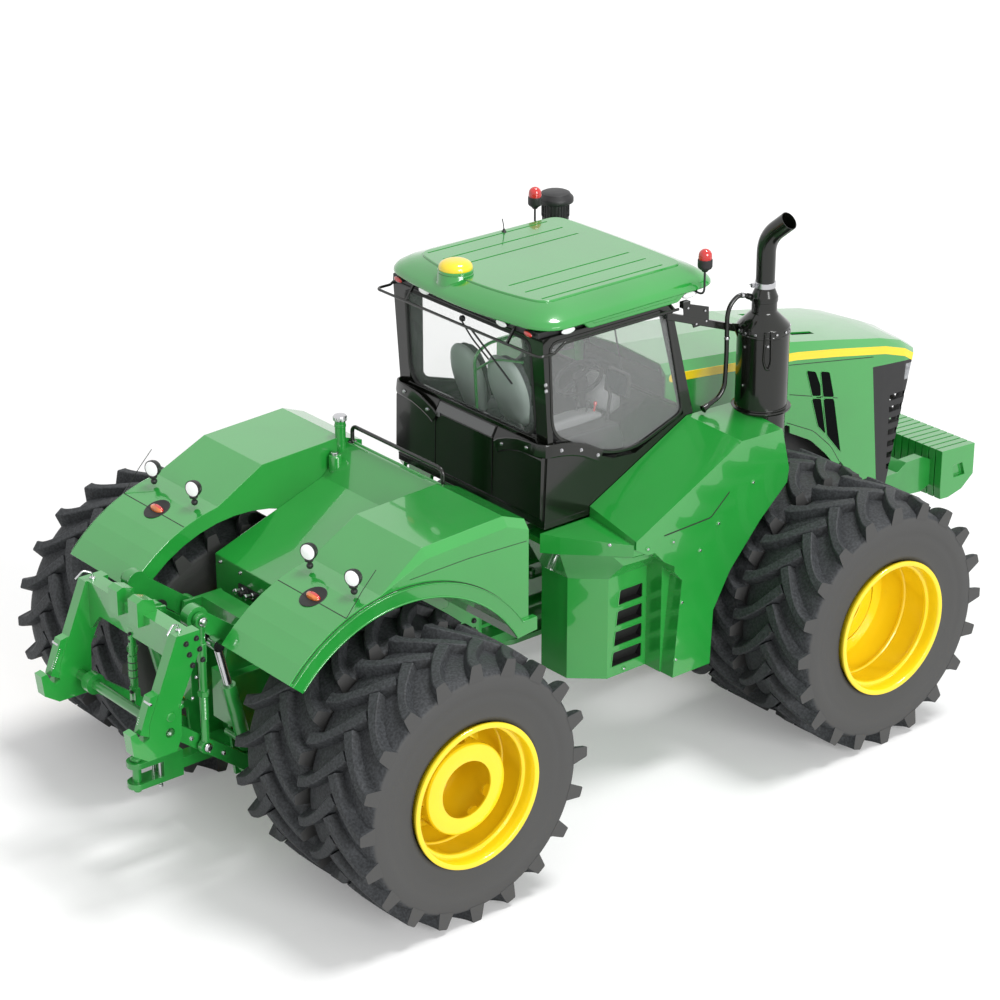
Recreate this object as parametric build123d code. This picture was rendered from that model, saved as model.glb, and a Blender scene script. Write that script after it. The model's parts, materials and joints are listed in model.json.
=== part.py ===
from build123d import *
from math import cos, degrees, hypot, radians, sin
import os

# Articulated four-wheel-drive farm tractor on dual wheels.
# Millimetres. +X is forward, +Y is left, +Z is up. The shapes are drawn about the floor point under the
# articulation pin, midway between the axles. They are exported about the middle of the whole length.

# ---------------------------------------------------------------- driving dimensions
WHEELBASE = 4209.0
AXLE_X = WHEELBASE / 2
ORIGIN_X = 491.0             # from the articulation axis forward to the exported origin

# Tyres and rims
TYRE_TIP_R = 1030.0          # radius at the lug tips
TYRE_BEAD_R = 541.0          # corner radius of the bore
TYRE_WIDTH = 740.0
BEAD_FACETS = 20
LUGS = 20                    # on each half of the tread
LUG_PITCH = 360.0 / LUGS
LUG_SWEEP = LUG_PITCH        # turn of a lug from the sidewall to the tyre's centre
LUG_TIP_W = 80.0
# groove radius and lug foot width, at the sidewall and at the tyre's centre
LUG_AT_SIDE = (932.0, 150.0)
LUG_AT_CENTRE = (955.0, 130.0)
INNER_TYRE_Y = 740.0         # inner sidewall of the inner tyre
DUAL_GAP = 20.0              # between the two tyres of a pair
RIM_FACETS = 36
RIM_FLANGE_R = 558.0
RIM_SEAT_R = 533.0
RIM_BORE_R = 508.0
RIM_FLANGE_W = 22.0
RIM_DISC_T = 20.0
DUAL_FLANGE_W = 9.0          # of the flanges that face each other between a pair
OUTER_DISC_INSET = 150.0
RIM_STEP_INSET = 105.0       # of the raised ring inside the outer rim, from its outer face
RIM_STEP_W = 40.0
RIM_STEP_R = 488.0
RIM_TYRE_GAP = 0.3
AXLE_Z = TYRE_TIP_R * cos(LUG_TIP_W / 2 / TYRE_TIP_R)

# Hubs and axles
HUB_R = 250.0
HUB_BORE_R = 100.0
HUB_IN_Y = 885.0
HUB_OUT_Y = 955.0
HUB_RUN_GAP = 5.0
SHAFT_CLEAR = 0.05
DRUM_R = 377.0
DRUM_HOLE_R = 219.0
DRUM_WALL = 14.0
DRUM_FACETS = 36
DRUM_SLOTS = 12              # long holes round the drum's wall
DRUM_SLOT_W = 100.0
DRUM_SLOT_L = 170.0
DRUM_SLOT_END = 60.0         # from the drum's face
REAR_DRUM_Y = 2130.0         # face of the rear wheels' hub drum
FRONT_DRUM_Y = 1700.0        # face of the front wheels' hub drum
AXLE_TUBE_R = 140.0
AXLE_FLANGE_R = 225.0
AXLE_FLANGE_T = 25.0
DIFF_R = 265.0
DIFF_HALF_W = 230.0

# Frames and articulation
RAIL_IN_Y = 300.0
RAIL_OUT_Y = 380.0
RAIL_BOTTOM = 1180.0
RAIL_TOP = 1480.0
BULKHEAD_X = 540.0
BULKHEAD_T = 60.0
BULKHEAD_BOTTOM = 760.0
BULKHEAD_TOP = 1620.0
FRONT_RAIL_END = 3760.0
REAR_RAIL_END = 2900.0
CROSS_MEMBER_X = (1350.0, 3480.0)
FORK_R = 150.0
FORK_T = 45.0
TONGUE_T = 90.0
FORK_GAP = 5.0               # each side of a tongue
PIVOT_PIN_R = 55.0
UPPER_PIVOT_Z = 1500.0
LOWER_PIVOT_Z = 850.0

# Steering cylinders, seen from above
STEER_FRONT_X = 450.0
STEER_REAR_X = 250.0
STEER_Y = 220.0
STEER_Z = 1130.0
STEER_BARREL_R = 48.0
STEER_BARREL_L = 400.0
STEER_ROD_R = 26.0
STEER_ROD_IN = 190.0         # of the rod inside the barrel when straight
STEER_EYE_R = 46.0
STEER_PIN_R = 22.0
STEER_LUG_T = 30.0
STEER_EYE_T = 44.0
STEER_STACK_GAP = 5.0

# Cab
CAB_HALF_W = 900.0
CAB_WALL = 60.0
CAB_FLOOR_Z = 2110.0
CAB_FLOOR_T = 50.0
CAB_TOP_Z = 3650.0
CAB_REAR_X = -350.0
CAB_FRONT_X = 1160.0
CAB_SILL_Z = 2790.0
ROOF_BOTTOM_Z = 3700.0
ROOF_EDGE_Z = 3764.0
ROOF_TOP_Z = 3872.0
RIM_TRAY_Y = 875.0           # half width of the dark tray under the roof
ROOF_REAR = (-380.0, 930.0)  # rear corner of the roof panel, x and y
ROOF_FRONT = (1330.0, 910.0)
ROOF_PANEL = (-235.0, 1165.0, 740.0)  # raised middle: rear x, front x and half width
ROOF_BOW = 120.0             # of the rear edge, behind its corners
ROOF_FRONT_BOW = 20.0
ROOF_CORNER_R = 190.0
ROOF_PANEL_CORNER_R = 90.0
ROOF_POD_X = (-15.0, 985.0)  # of the deeper band along each side
ROOF_POD_Z = 3662.0
ROOF_POD_RUN = 55.0          # of the band's slanted ends
ROOF_GROOVE_X = (-200.0, 1000.0)
ROOF_GROOVE_Y = (300.0, 490.0, 680.0)
ROOF_GROOVE_W = 14.0
ROOF_GROOVE_D = 8.0
ROOF_LAMP_Y = (-779.0, -456.0, 456.0, 779.0)
GLASS_T = 8.0
GLASS_SEAT = 0.3

# Hood
HOOD_REAR_X = 1190.0
HOOD_WALL = 14.0
HOOD_HALF_W = 550.0
HOOD_CREASE_Y = 480.0
NOSE_R = 727.0
NOSE_X = 4300.0
HOOD_HINGE_X = 1230.0
HOOD_HINGE_Z = 2880.0
HOOD_PIN_R = 12.0

# Front weights, side tank, stacks and rear fenders
WEIGHT_HALF_W = 560.0
WEIGHT_COUNT = 14
WEIGHT_GROOVE_W = 12.0
WEIGHT_GROOVE_D = 28.0
TANK_OUT_Y = 1440.0
TANK_IN_Y = 620.0
TANK_BOX_Y = 1128.0          # outer face of the box under the tray
LOUVRES = 4
LOUVRE_X = (150.0, 455.0)
LOUVRE_Z = 880.0
LOUVRE_H = 118.0
LOUVRE_PITCH = 172.0
LOUVRE_D = 70.0
LOUVRE_LEAN = 0.12           # of the openings' rear edge, per unit of height
TANK_CAB_GAP = 5.0
STACK_X = 1740.0
STACK_Y = 1060.0
STACK_R = 207.0
STACK_RING_R = 235.0
STACK_RING_Z = 2640.0
STACK_FIT = 0.3
CLEANER_X = 1420.0
CLEANER_BASE_Z = 2640.0
DECK_HALF_W = 592.0          # half width of the fuel tank between the fenders
DECK_TANK_Z = 1560.0
FENDER_OUT_Y = 1416.0
GUARD_IN_R = 1200.0
GUARD_OUT_R = 1330.0
GUARD_ANGLES = (30.0, 139.0)  # of the mudguard's ends, up from straight ahead
LIP_OUT_R = 1310.0
LIP_W = 28.0                 # of the lip, out from the fender's side
BEVEL_W = 56.0
BEVEL_H = 68.0
MARKER_ANGLE = 111.0
MARKER_Y = 996.0
MARKER_POCKET_R = 98.0
MARKER_POCKET_D = 45.0
MARKER_L = 150.0
MARKER_H = 62.0

# Hitch, side view (x, z); every link is one side of a parallelogram
LOWER_PIN = (-2750.0, 720.0)
LOWER_BALL = (-3600.0, 1380.0)
COUPLER_TOP_OFFSET = (330.0, 640.0)
ARM_PIVOT_RISE = 1010.0
ARM_SHARE = 0.52             # of the lower link's length, where the lift rods meet it
LIFT_BASE = (-2870.0, 1000.0)
LIFT_ARM_PIN = (-330.0, 130.0)
LIFT_BARREL_L = 520.0
LIFT_BARREL_R = 55.0
LIFT_ROD_R = 32.0
LIFT_ROD_START = 420.0       # inner end of the rod at rest, from the barrel's pin
LIFT_BORE_START = 110.0
COUPLER_BEAM_Z = (490.0, 725.0)  # of the beam, up from the ball axis
COUPLER_HOOK_Y = (70.0, 190.0)
STRUT_X = 115.0              # of the coupler's centre strut, ahead of the ball axis
LINK_IN_Y = 330.0
LINK_OUT_Y = 420.0
ARM_IN_Y = 340.0
ARM_OUT_Y = 440.0
LIFT_MID_Y = 490.0
LIFT_EYE_W = 50.0
COUPLER_IN_Y = 545.0
COUPLER_OUT_Y = 640.0
LINK_PIN_R = 38.0
ARM_PIN_R = 45.0
LIFT_PIN_R = 30.0
ROD_PIN_R = 25.0
TOP_PIN_R = 25.0
OPEN_PIN_CLEAR = 2.0
DRAWBAR_PIN_R = 35.0


def box(x, y, z):
    """Box from low and high corner values, each given as (low, high)."""
    size = (x[1] - x[0], y[1] - y[0], z[1] - z[0])
    centre = ((x[0] + x[1]) / 2, (y[0] + y[1]) / 2, (z[0] + z[1]) / 2)
    return Pos(*centre) * Box(*size)


def prism(points, direction):
    """Straight prism on a polygon of 3-D points."""
    return Solid.extrude(Face(Wire.make_polygon([Vector(*p) for p in points], close=True)), Vector(*direction))


def side_prism(points, y):
    """Prism with a side profile of (x, z) points, between the two y values."""
    return prism([(px, y[0], pz) for px, pz in points], (0, y[1] - y[0], 0))


def plan_prism(points, z):
    """Prism with a plan outline of (x, y) points, between the two z values."""
    return prism([(px, py, z[0]) for px, py in points], (0, 0, z[1] - z[0]))


def cross_prism(points, x):
    """Prism with a cross section of (y, z) points, between the two x values."""
    return prism([(x[0], py, pz) for py, pz in points], (x[1] - x[0], 0, 0))


def rod(start, end, radius):
    """Round bar between two points."""
    axis = Vector(*end) - Vector(*start)
    return Plane(origin=Vector(*start), z_dir=axis) * Cylinder(radius, axis.length,
                                                              align=(Align.CENTER, Align.CENTER, Align.MIN))


def cross_rod(x, y, z, radius):
    """Round bar along Y between the two y values."""
    return rod((x, y[0], z), (x, y[1], z), radius)


def post(x, y, z, radius):
    """Round bar along Z between the two z values."""
    return rod((x, y, z[0]), (x, y, z[1]), radius)


def tube(points, bend, radius):
    """Bent round bar with one bend radius."""
    path = FilletPolyline(*points, radius=bend)
    return sweep(Plane(origin=path @ 0, z_dir=path % 0) * Circle(radius), path=path)


def both_sides(shape):
    """The shape and its mirror image across the centre plane."""
    return [shape, mirror(shape, about=Plane.XZ)]


def fuse(*shapes):
    """One shape from several that touch or overlap."""
    flat = []
    for shape in shapes:
        if isinstance(shape, (list, tuple)):
            flat.extend(shape)
        else:
            flat.append(shape)
    result = flat[0]
    for shape in flat[1:]:
        result = result + shape
    return result


def group(*shapes):
    """Separate solids kept in one node."""
    solids = []
    for shape in shapes:
        if isinstance(shape, (list, tuple)):
            for item in shape:
                solids.extend(item.solids())
        else:
            solids.extend(shape.solids())
    return Compound(children=solids)


def facet_frustum(y0, r0, y1, r1, facets):
    """Ring section with flat facets between two y values, radii at the corners."""
    turn = 180.0 / facets
    lower = Plane(origin=(0, y0, 0), x_dir=(1, 0, 0), z_dir=(0, 1, 0)) * Rot(0, 0, turn) * RegularPolygon(r0, facets)
    upper = Plane(origin=(0, y1, 0), x_dir=(1, 0, 0), z_dir=(0, 1, 0)) * Rot(0, 0, turn) * RegularPolygon(r1, facets)
    return loft([lower, upper], ruled=True)


def facet_stack(sections, facets):
    """Fused facet frustums through (y, corner radius) sections."""
    pieces = []
    for (y0, r0), (y1, r1) in zip(sections, sections[1:]):
        pieces.append(facet_frustum(y0, r0, y1, r1, facets))
    return fuse(pieces)


# ---------------------------------------------------------------- wheels
def tread_point(radius, angle, y):
    """Point at an angle in degrees from straight down, turning up at the rear."""
    return Vector(-radius * sin(radians(angle)), y, -radius * cos(radians(angle)))


def lug_corners(y, start, groove_r, foot_w):
    """Foot, tip, tip and foot corner of each lug of one tread half, at one y."""
    tip_turn = degrees(LUG_TIP_W / 2 / TYRE_TIP_R)
    foot_turn = degrees(foot_w / 2 / groove_r)
    lugs = []
    for index in range(LUGS):
        middle = start + index * LUG_PITCH
        lugs.append([tread_point(groove_r, middle - foot_turn, y), tread_point(TYRE_TIP_R, middle - tip_turn, y),
                     tread_point(TYRE_TIP_R, middle + tip_turn, y), tread_point(groove_r, middle + foot_turn, y)])
    return lugs


def flat_face(*points):
    """Flat face on a closed outline."""
    return Face(Wire.make_polygon(points, close=True))


def tread_half(y_side, y_centre, start):
    """Faces of one half of a tyre: lugs, grooves and sidewall, with the sidewall's bead corners."""
    side = lug_corners(y_side, start, *LUG_AT_SIDE)
    centre = lug_corners(y_centre, start + LUG_SWEEP, *LUG_AT_CENTRE)
    other = lug_corners(y_centre, start + LUG_SWEEP + LUG_PITCH / 2, *LUG_AT_CENTRE)
    faces = []
    for index in range(LUGS):
        after = (index + 1) % LUGS
        here = side[index]
        there = centre[index]
        for low in range(3):
            faces.append(flat_face(here[low], here[low + 1], there[low + 1]))
            faces.append(flat_face(here[low], there[low + 1], there[low]))
        faces.append(flat_face(*there))
        # groove up to the next lug, past the foot of the other half's lug
        near, far = other[index][0], other[index][3]
        faces.append(flat_face(here[3], there[3], near))
        faces.append(flat_face(here[3], near, side[after][0]))
        faces.append(flat_face(side[after][0], near, far))
        faces.append(flat_face(side[after][0], far, centre[after][0]))
    outline = [corner for lug in side for corner in lug]
    bead = [tread_point(TYRE_BEAD_R, index * 360.0 / BEAD_FACETS, y_side) for index in range(BEAD_FACETS)]
    faces.append(Face(Wire.make_polygon(outline, close=True), [Wire.make_polygon(bead, close=True)]))
    return faces, bead


def tyre(y_in):
    """One lugged tyre centred on the wheel axis, its two tread halves half a pitch apart."""
    y_out = y_in + TYRE_WIDTH
    y_centre = (y_in + y_out) / 2
    faces, bead_out = tread_half(y_out, y_centre, 0.0)
    more, bead_in = tread_half(y_in, y_centre, LUG_PITCH / 2)
    faces += more
    for index in range(BEAD_FACETS):
        after = (index + 1) % BEAD_FACETS
        faces.append(flat_face(bead_in[index], bead_in[after], bead_out[after], bead_out[index]))
    return Solid(Shell(faces))


def rim(tyre_y, disc_y, flange_in, flange_out):
    """One rim about a tyre that starts at tyre_y, with the two flange widths and a centre disc at disc_y."""
    y_in = tyre_y - RIM_TYRE_GAP - flange_in
    y_out = tyre_y + TYRE_WIDTH + RIM_TYRE_GAP + flange_out
    barrel = facet_frustum(y_in, RIM_FLANGE_R, y_in + flange_in, RIM_FLANGE_R, RIM_FACETS)
    barrel += facet_frustum(y_out - flange_out, RIM_FLANGE_R, y_out, RIM_FLANGE_R, RIM_FACETS)
    barrel += facet_frustum(y_in, RIM_SEAT_R, y_out, RIM_SEAT_R, RIM_FACETS)
    bore = facet_frustum(y_in - 1, RIM_BORE_R, y_out + 1, RIM_BORE_R, RIM_FACETS)
    disc = facet_frustum(disc_y, RIM_BORE_R + 1, disc_y + RIM_DISC_T, RIM_BORE_R + 1, RIM_FACETS)
    return (barrel - bore) + disc


def drum_slots(drum_y):
    """Cutter for the long holes round a drum's wall."""
    slots = []
    for index in range(DRUM_SLOTS):
        turn = Rot(0, index * 360.0 / DRUM_SLOTS, 0)
        corner = DRUM_SLOT_W / 4
        half_w = DRUM_SLOT_W / 2
        y_out = drum_y - DRUM_SLOT_END
        y_in = y_out - DRUM_SLOT_L
        outline = [(-half_w, y_in + corner), (-corner, y_in), (corner, y_in), (half_w, y_in + corner),
                   (half_w, y_out - corner), (corner, y_out), (-corner, y_out), (-half_w, y_out - corner)]
        slots.append(turn * plan_prism(outline, (DRUM_R - 3 * DRUM_WALL, DRUM_R + DRUM_WALL)))
    return slots


def wheel_pair(drum_y):
    """The two rims, hub and drum of one wheel body on the left side, about its own axis."""
    y_next = INNER_TYRE_Y + TYRE_WIDTH + DUAL_GAP
    outer_out = y_next + TYRE_WIDTH + RIM_FLANGE_W
    inner = rim(INNER_TYRE_Y, HUB_OUT_Y - RIM_DISC_T, RIM_FLANGE_W, DUAL_FLANGE_W)
    outer = rim(y_next, y_next + OUTER_DISC_INSET, DUAL_FLANGE_W, RIM_FLANGE_W)
    step_y = outer_out - RIM_STEP_INSET - RIM_STEP_W
    step = facet_frustum(step_y, RIM_BORE_R + 1, step_y + RIM_STEP_W, RIM_BORE_R + 1, RIM_FACETS)
    step -= facet_frustum(step_y - 1, RIM_STEP_R, step_y + RIM_STEP_W + 1, RIM_STEP_R, RIM_FACETS)
    drum = facet_frustum(HUB_OUT_Y - 1, DRUM_R, drum_y, DRUM_R, DRUM_FACETS)
    drum -= facet_frustum(HUB_OUT_Y - 2, DRUM_R - DRUM_WALL, drum_y - DRUM_WALL, DRUM_R - DRUM_WALL, DRUM_FACETS)
    drum -= facet_frustum(drum_y - 2 * DRUM_WALL, DRUM_HOLE_R, drum_y + 1, DRUM_HOLE_R, DRUM_FACETS)
    if drum_y - DRUM_SLOT_END - DRUM_SLOT_L > y_next + OUTER_DISC_INSET + RIM_DISC_T:
        for slot in drum_slots(drum_y):
            drum -= slot
    hub = cross_rod(0, (HUB_IN_Y, HUB_OUT_Y), 0, HUB_R)
    outer -= facet_frustum(y_next, DRUM_R - DRUM_WALL / 2, outer_out, DRUM_R - DRUM_WALL / 2, DRUM_FACETS)
    body = fuse(inner, drum, outer, step, hub)
    return body - cross_rod(0, (HUB_IN_Y - 1, HUB_OUT_Y + 1), 0, HUB_BORE_R + SHAFT_CLEAR)


def wheel_sets():
    """Tyres and rims of the four wheel bodies."""
    rims = {"front": wheel_pair(FRONT_DRUM_Y), "rear": wheel_pair(REAR_DRUM_Y)}
    tyres = group(tyre(INNER_TYRE_Y), tyre(INNER_TYRE_Y + TYRE_WIDTH + DUAL_GAP))
    nodes = {}
    for end, x in (("front", AXLE_X), ("rear", -AXLE_X)):
        for side in ("left", "right"):
            place = Pos(x, 0, AXLE_Z)
            rim_shape = rims[end] if side == "left" else mirror(rims[end], about=Plane.XZ)
            tyre_shape = tyres if side == "left" else group(mirror(tyres, about=Plane.XZ))
            nodes[f"rims_{end}_{side}"] = place * rim_shape
            nodes[f"tyres_{end}_{side}"] = group(place * tyre_shape)
    return nodes


def axle(x):
    """Axle housing across one half, with saddles up to the rails and a spindle into each hub."""
    flange_y = HUB_IN_Y - HUB_RUN_GAP
    body = cross_rod(x, (-flange_y, flange_y), AXLE_Z, AXLE_TUBE_R)
    body += cross_rod(x, (-DIFF_HALF_W, DIFF_HALF_W), AXLE_Z, DIFF_R)
    for sign in (1, -1):
        body += cross_rod(x, sorted((sign * (flange_y - AXLE_FLANGE_T), sign * flange_y)), AXLE_Z, AXLE_FLANGE_R)
        body += cross_rod(x, sorted((sign * flange_y, sign * (HUB_OUT_Y - 2))), AXLE_Z, HUB_BORE_R)
        body += box((x - 170, x + 170), sorted((sign * RAIL_IN_Y, sign * RAIL_OUT_Y)), (AXLE_Z, RAIL_BOTTOM))
    return body


# ---------------------------------------------------------------- frames
def rounded_tongue(x_end, z, half_w, bore):
    """Flat plate from the articulation axis to x_end, with a round end about the axis."""
    plate = box(sorted((0, x_end)), (-half_w, half_w), z) + post(0, 0, z, half_w)
    if bore:
        plate -= post(0, 0, (z[0] - 1, z[1] + 1), bore)
    return plate


def front_frame():
    """Rails, hinge forks with their pins, cab posts and the nose with the weight carrier."""
    body = []
    rail = box((BULKHEAD_X, FRONT_RAIL_END), (RAIL_IN_Y, RAIL_OUT_Y), (RAIL_BOTTOM, RAIL_TOP))
    body += both_sides(rail)
    body.append(box((BULKHEAD_X, BULKHEAD_X + BULKHEAD_T), (-RAIL_OUT_Y, RAIL_OUT_Y), (BULKHEAD_BOTTOM, BULKHEAD_TOP)))
    for x in CROSS_MEMBER_X:
        body.append(box((x, x + 80), (-RAIL_IN_Y, RAIL_IN_Y), (RAIL_BOTTOM + 40, RAIL_TOP - 60)))
    for z in (UPPER_PIVOT_Z, LOWER_PIVOT_Z):
        reach = TONGUE_T / 2 + FORK_GAP
        for low in (z - reach - FORK_T, z + reach):
            body.append(rounded_tongue(BULKHEAD_X, (low, low + FORK_T), FORK_R, None))
        body.append(post(0, 0, (z - reach - FORK_T - 20, z + reach + FORK_T + 20), PIVOT_PIN_R))
    # cab posts and beams
    beam_z = (CAB_FLOOR_Z - 110, CAB_FLOOR_Z)
    body += both_sides(box((-300, CAB_FRONT_X - 20), (RAIL_IN_Y + 10, RAIL_OUT_Y + 50), beam_z))
    for x in (BULKHEAD_X, CAB_FRONT_X - 160):
        body += both_sides(box((x, x + 140), (RAIL_IN_Y, RAIL_OUT_Y), (RAIL_TOP, beam_z[0])))
        # arm that carries the side tank and the left platform
        body.append(box((x + 40, x + 100), (-TANK_IN_Y, TANK_IN_Y), (1700, 1780)))
    # steering cylinder lugs on the bulkhead, each with its pin
    lug_top = STEER_Z - STEER_EYE_T / 2 - 1.0
    lug = box((STEER_FRONT_X, BULKHEAD_X), (STEER_Y - 50, STEER_Y + 50), (lug_top - STEER_LUG_T, lug_top))
    lug += post(STEER_FRONT_X, STEER_Y, (lug_top - STEER_LUG_T, lug_top), 50)
    lug += post(STEER_FRONT_X, STEER_Y, (lug_top - STEER_LUG_T, STEER_Z + STEER_EYE_T / 2 + 12), STEER_PIN_R)
    body += both_sides(lug)
    # nose and weight carrier
    body.append(side_prism([(FRONT_RAIL_END - 60, 1225), (FRONT_RAIL_END - 60, 960), (4180, 960),
                            (4180, 1290), (4065, 1225)], (-430, 430)))
    body += both_sides(side_prism([(4180, 980), (4380, 960), (4490, 1000), (4490, 1240), (4380, 1290),
                                   (4180, 1290)], (330, 430)))
    return fuse(body)


def engine():
    """Engine as one plain block on its cross members."""
    return box((1950, 3380), (-RAIL_IN_Y, RAIL_IN_Y), (RAIL_BOTTOM + 150, 2330))


def radiator():
    """Cooling pack behind the grille, standing on the rails."""
    return box((3480, 3600), (-480, 480), (RAIL_TOP, 2330))


def firewall():
    """Plate on the rails at the rear of the hood, with the hood's hinge pins at its top."""
    plate = box((1250, 1280), (-500, 500), (RAIL_TOP, 2840))
    for sign in (1, -1):
        ear = side_prism([(HOOD_HINGE_X - 30, HOOD_HINGE_Z + 25), (HOOD_HINGE_X + 30, HOOD_HINGE_Z + 25),
                          (1280, 2800), (1250, 2800)], sorted((sign * 440, sign * 470)))
        plate += ear
        plate += cross_rod(HOOD_HINGE_X, sorted((sign * 440, sign * 515)), HOOD_HINGE_Z, HOOD_PIN_R)
    return plate


def front_weights():
    """Block of suitcase weights hung on the carrier, a groove between each two."""
    outline = [(4490, 1350), (4912, 1325), (4912, 1035), (4770, 925), (4600, 888), (4500, 895), (4490, 1000)]
    block = side_prism(outline, (-WEIGHT_HALF_W, WEIGHT_HALF_W))
    core = shrink(outline, WEIGHT_GROOVE_D)
    pitch = 2 * WEIGHT_HALF_W / WEIGHT_COUNT
    for index in range(1, WEIGHT_COUNT):
        y = index * pitch - WEIGHT_HALF_W
        span = (y - WEIGHT_GROOVE_W / 2, y + WEIGHT_GROOVE_W / 2)
        around = side_prism([(4400, 1450), (5000, 1450), (5000, 800), (4400, 800)], span)
        block -= around - side_prism(core, (span[0] - 1, span[1] + 1))
    # hand holds in the two end plates
    for sign in (1, -1):
        y = sorted((sign * (WEIGHT_HALF_W - 35), sign * (WEIGHT_HALF_W + 1)))
        block -= side_prism([(4640, 1180), (4760, 1180), (4800, 1060), (4660, 1060)], y)
    return block


# ---------------------------------------------------------------- hood
HOOD_STATIONS = (
    # x, ridge z, crease z, shoulder z, crease y, shoulder y
    (1190.0, 2985.0, 2955.0, 2880.0, 480.0, 550.0),
    (2654.0, 2818.0, 2788.0, 2720.0, 480.0, 550.0),
    (3100.0, 2732.0, 2699.0, 2640.0, 480.0, 550.0),
    (3700.0, 2606.0, 2572.0, 2520.0, 480.0, 550.0),
    (3950.0, 2535.0, 2497.0, 2440.0, 478.0, 545.0),
    (4130.0, 2455.0, 2380.0, 2330.0, 470.0, 525.0),
    (4320.0, 2340.0, 2300.0, 2270.0, 440.0, 490.0),
)
HOOD_BASE_Z = 1236.0
NOSE_LEAN = 0.23             # forward run per unit of height
GRILLE_REAR_TOP_X = 3560.0
GRILLE_REAR_BASE_X = 3690.0
GRILLE_SLOTS = 7
GRILLE_SLOT_Z = 1370.0
GRILLE_SLOT_H = 52.0
GRILLE_PITCH = 105.0
# slanted cooling slots in each side panel, side view (x, z)
SIDE_SLOTS = (
    [(2783, 2523), (2878, 2491), (3056, 1892)],
    [(2948, 2482), (3019, 2465), (3224, 1684), (3069, 1862)],
)
TOP_SLOT_X = (2808.0, 3072.0)
TOP_SLOT_Y = (262.0, 322.0)
STRIPE_W = 70.0
STRIPE_T = 1.5
STRIPE_REAR_X = 1225.0
LAMP_SIDE = [(3960, 2150), (3975, 2295), (4230, 2270), (4230, 2130)]
LAMP_MIN_Y = 350.0
LAMP_DEPTH = 60.0


def hood_sections(inset):
    """Closed cross sections of the hood, moved inwards by inset."""
    wires = []
    for x, ridge, crease, shoulder, crease_y, shoulder_y in HOOD_STATIONS:
        crease_in = crease_y - inset * 0.6
        shoulder_in = shoulder_y - inset
        base = HOOD_BASE_Z - (50.0 if inset else 0.0)
        points = [(x, -shoulder_in, base), (x, -shoulder_in, shoulder - inset * 0.5), (x, -crease_in, crease - inset),
                  (x, 0, ridge - inset), (x, crease_in, crease - inset), (x, shoulder_in, shoulder - inset * 0.5),
                  (x, shoulder_in, base)]
        wires.append(Wire.make_polygon([Vector(*p) for p in points], close=True))
    return wires


def nose_block(inset):
    """Leaning prism whose rounded front is the nose, moved inwards by inset."""
    z_low = HOOD_BASE_Z - 60
    z_high = 3100.0
    front = NOSE_X - inset - NOSE_LEAN * (2360.0 - z_low)
    radius = NOSE_R - inset
    half = 620.0
    back = HOOD_REAR_X - 40 - NOSE_LEAN * (z_high - z_low)
    edge_x = front - radius + (radius ** 2 - half ** 2) ** 0.5
    outline = Polyline((edge_x, -half), (back, -half), (back, half), (edge_x, half))
    arc = ThreePointArc((edge_x, half), (front, 0), (edge_x, -half))
    face = Pos(0, 0, z_low) * make_face([outline.edges(), arc.edges()])
    rise = z_high - z_low
    return Solid.extrude(face.face(), Vector(NOSE_LEAN * rise, 0, rise))


def hood_solid(inset):
    """Solid form of the hood at one inset."""
    form = Solid.make_loft(hood_sections(inset), ruled=True)
    return form & nose_block(inset)


def hood_stripe():
    """Stripe along the shoulder of the hood, standing a little proud of it."""
    top = [(x, shoulder) for x, _, _, shoulder, _, _ in HOOD_STATIONS if x > STRIPE_REAR_X]
    first = HOOD_STATIONS[0]
    second = HOOD_STATIONS[1]
    fall = (second[3] - first[3]) / (second[0] - first[0])
    start_z = first[3] + fall * (STRIPE_REAR_X - first[0])
    top = [(STRIPE_REAR_X + STRIPE_W / 2, start_z)] + top[:-1] + [(4400, 2230)]
    low = [(x, z - STRIPE_W) for x, z in reversed(top)]
    band = side_prism(top + low, (-700, 700))
    band += cross_rod(STRIPE_REAR_X + STRIPE_W / 2, (-700, 700), start_z - STRIPE_W / 2, STRIPE_W / 2)
    return (hood_solid(-STRIPE_T) - hood_solid(0.0)) & band


def headlamp_block():
    """Side outline of both headlamps as one block across the nose."""
    return side_prism(LAMP_SIDE, (-700, 700)) - box((3900, 4400), (-LAMP_MIN_Y, LAMP_MIN_Y), (2000, 2400))


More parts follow.
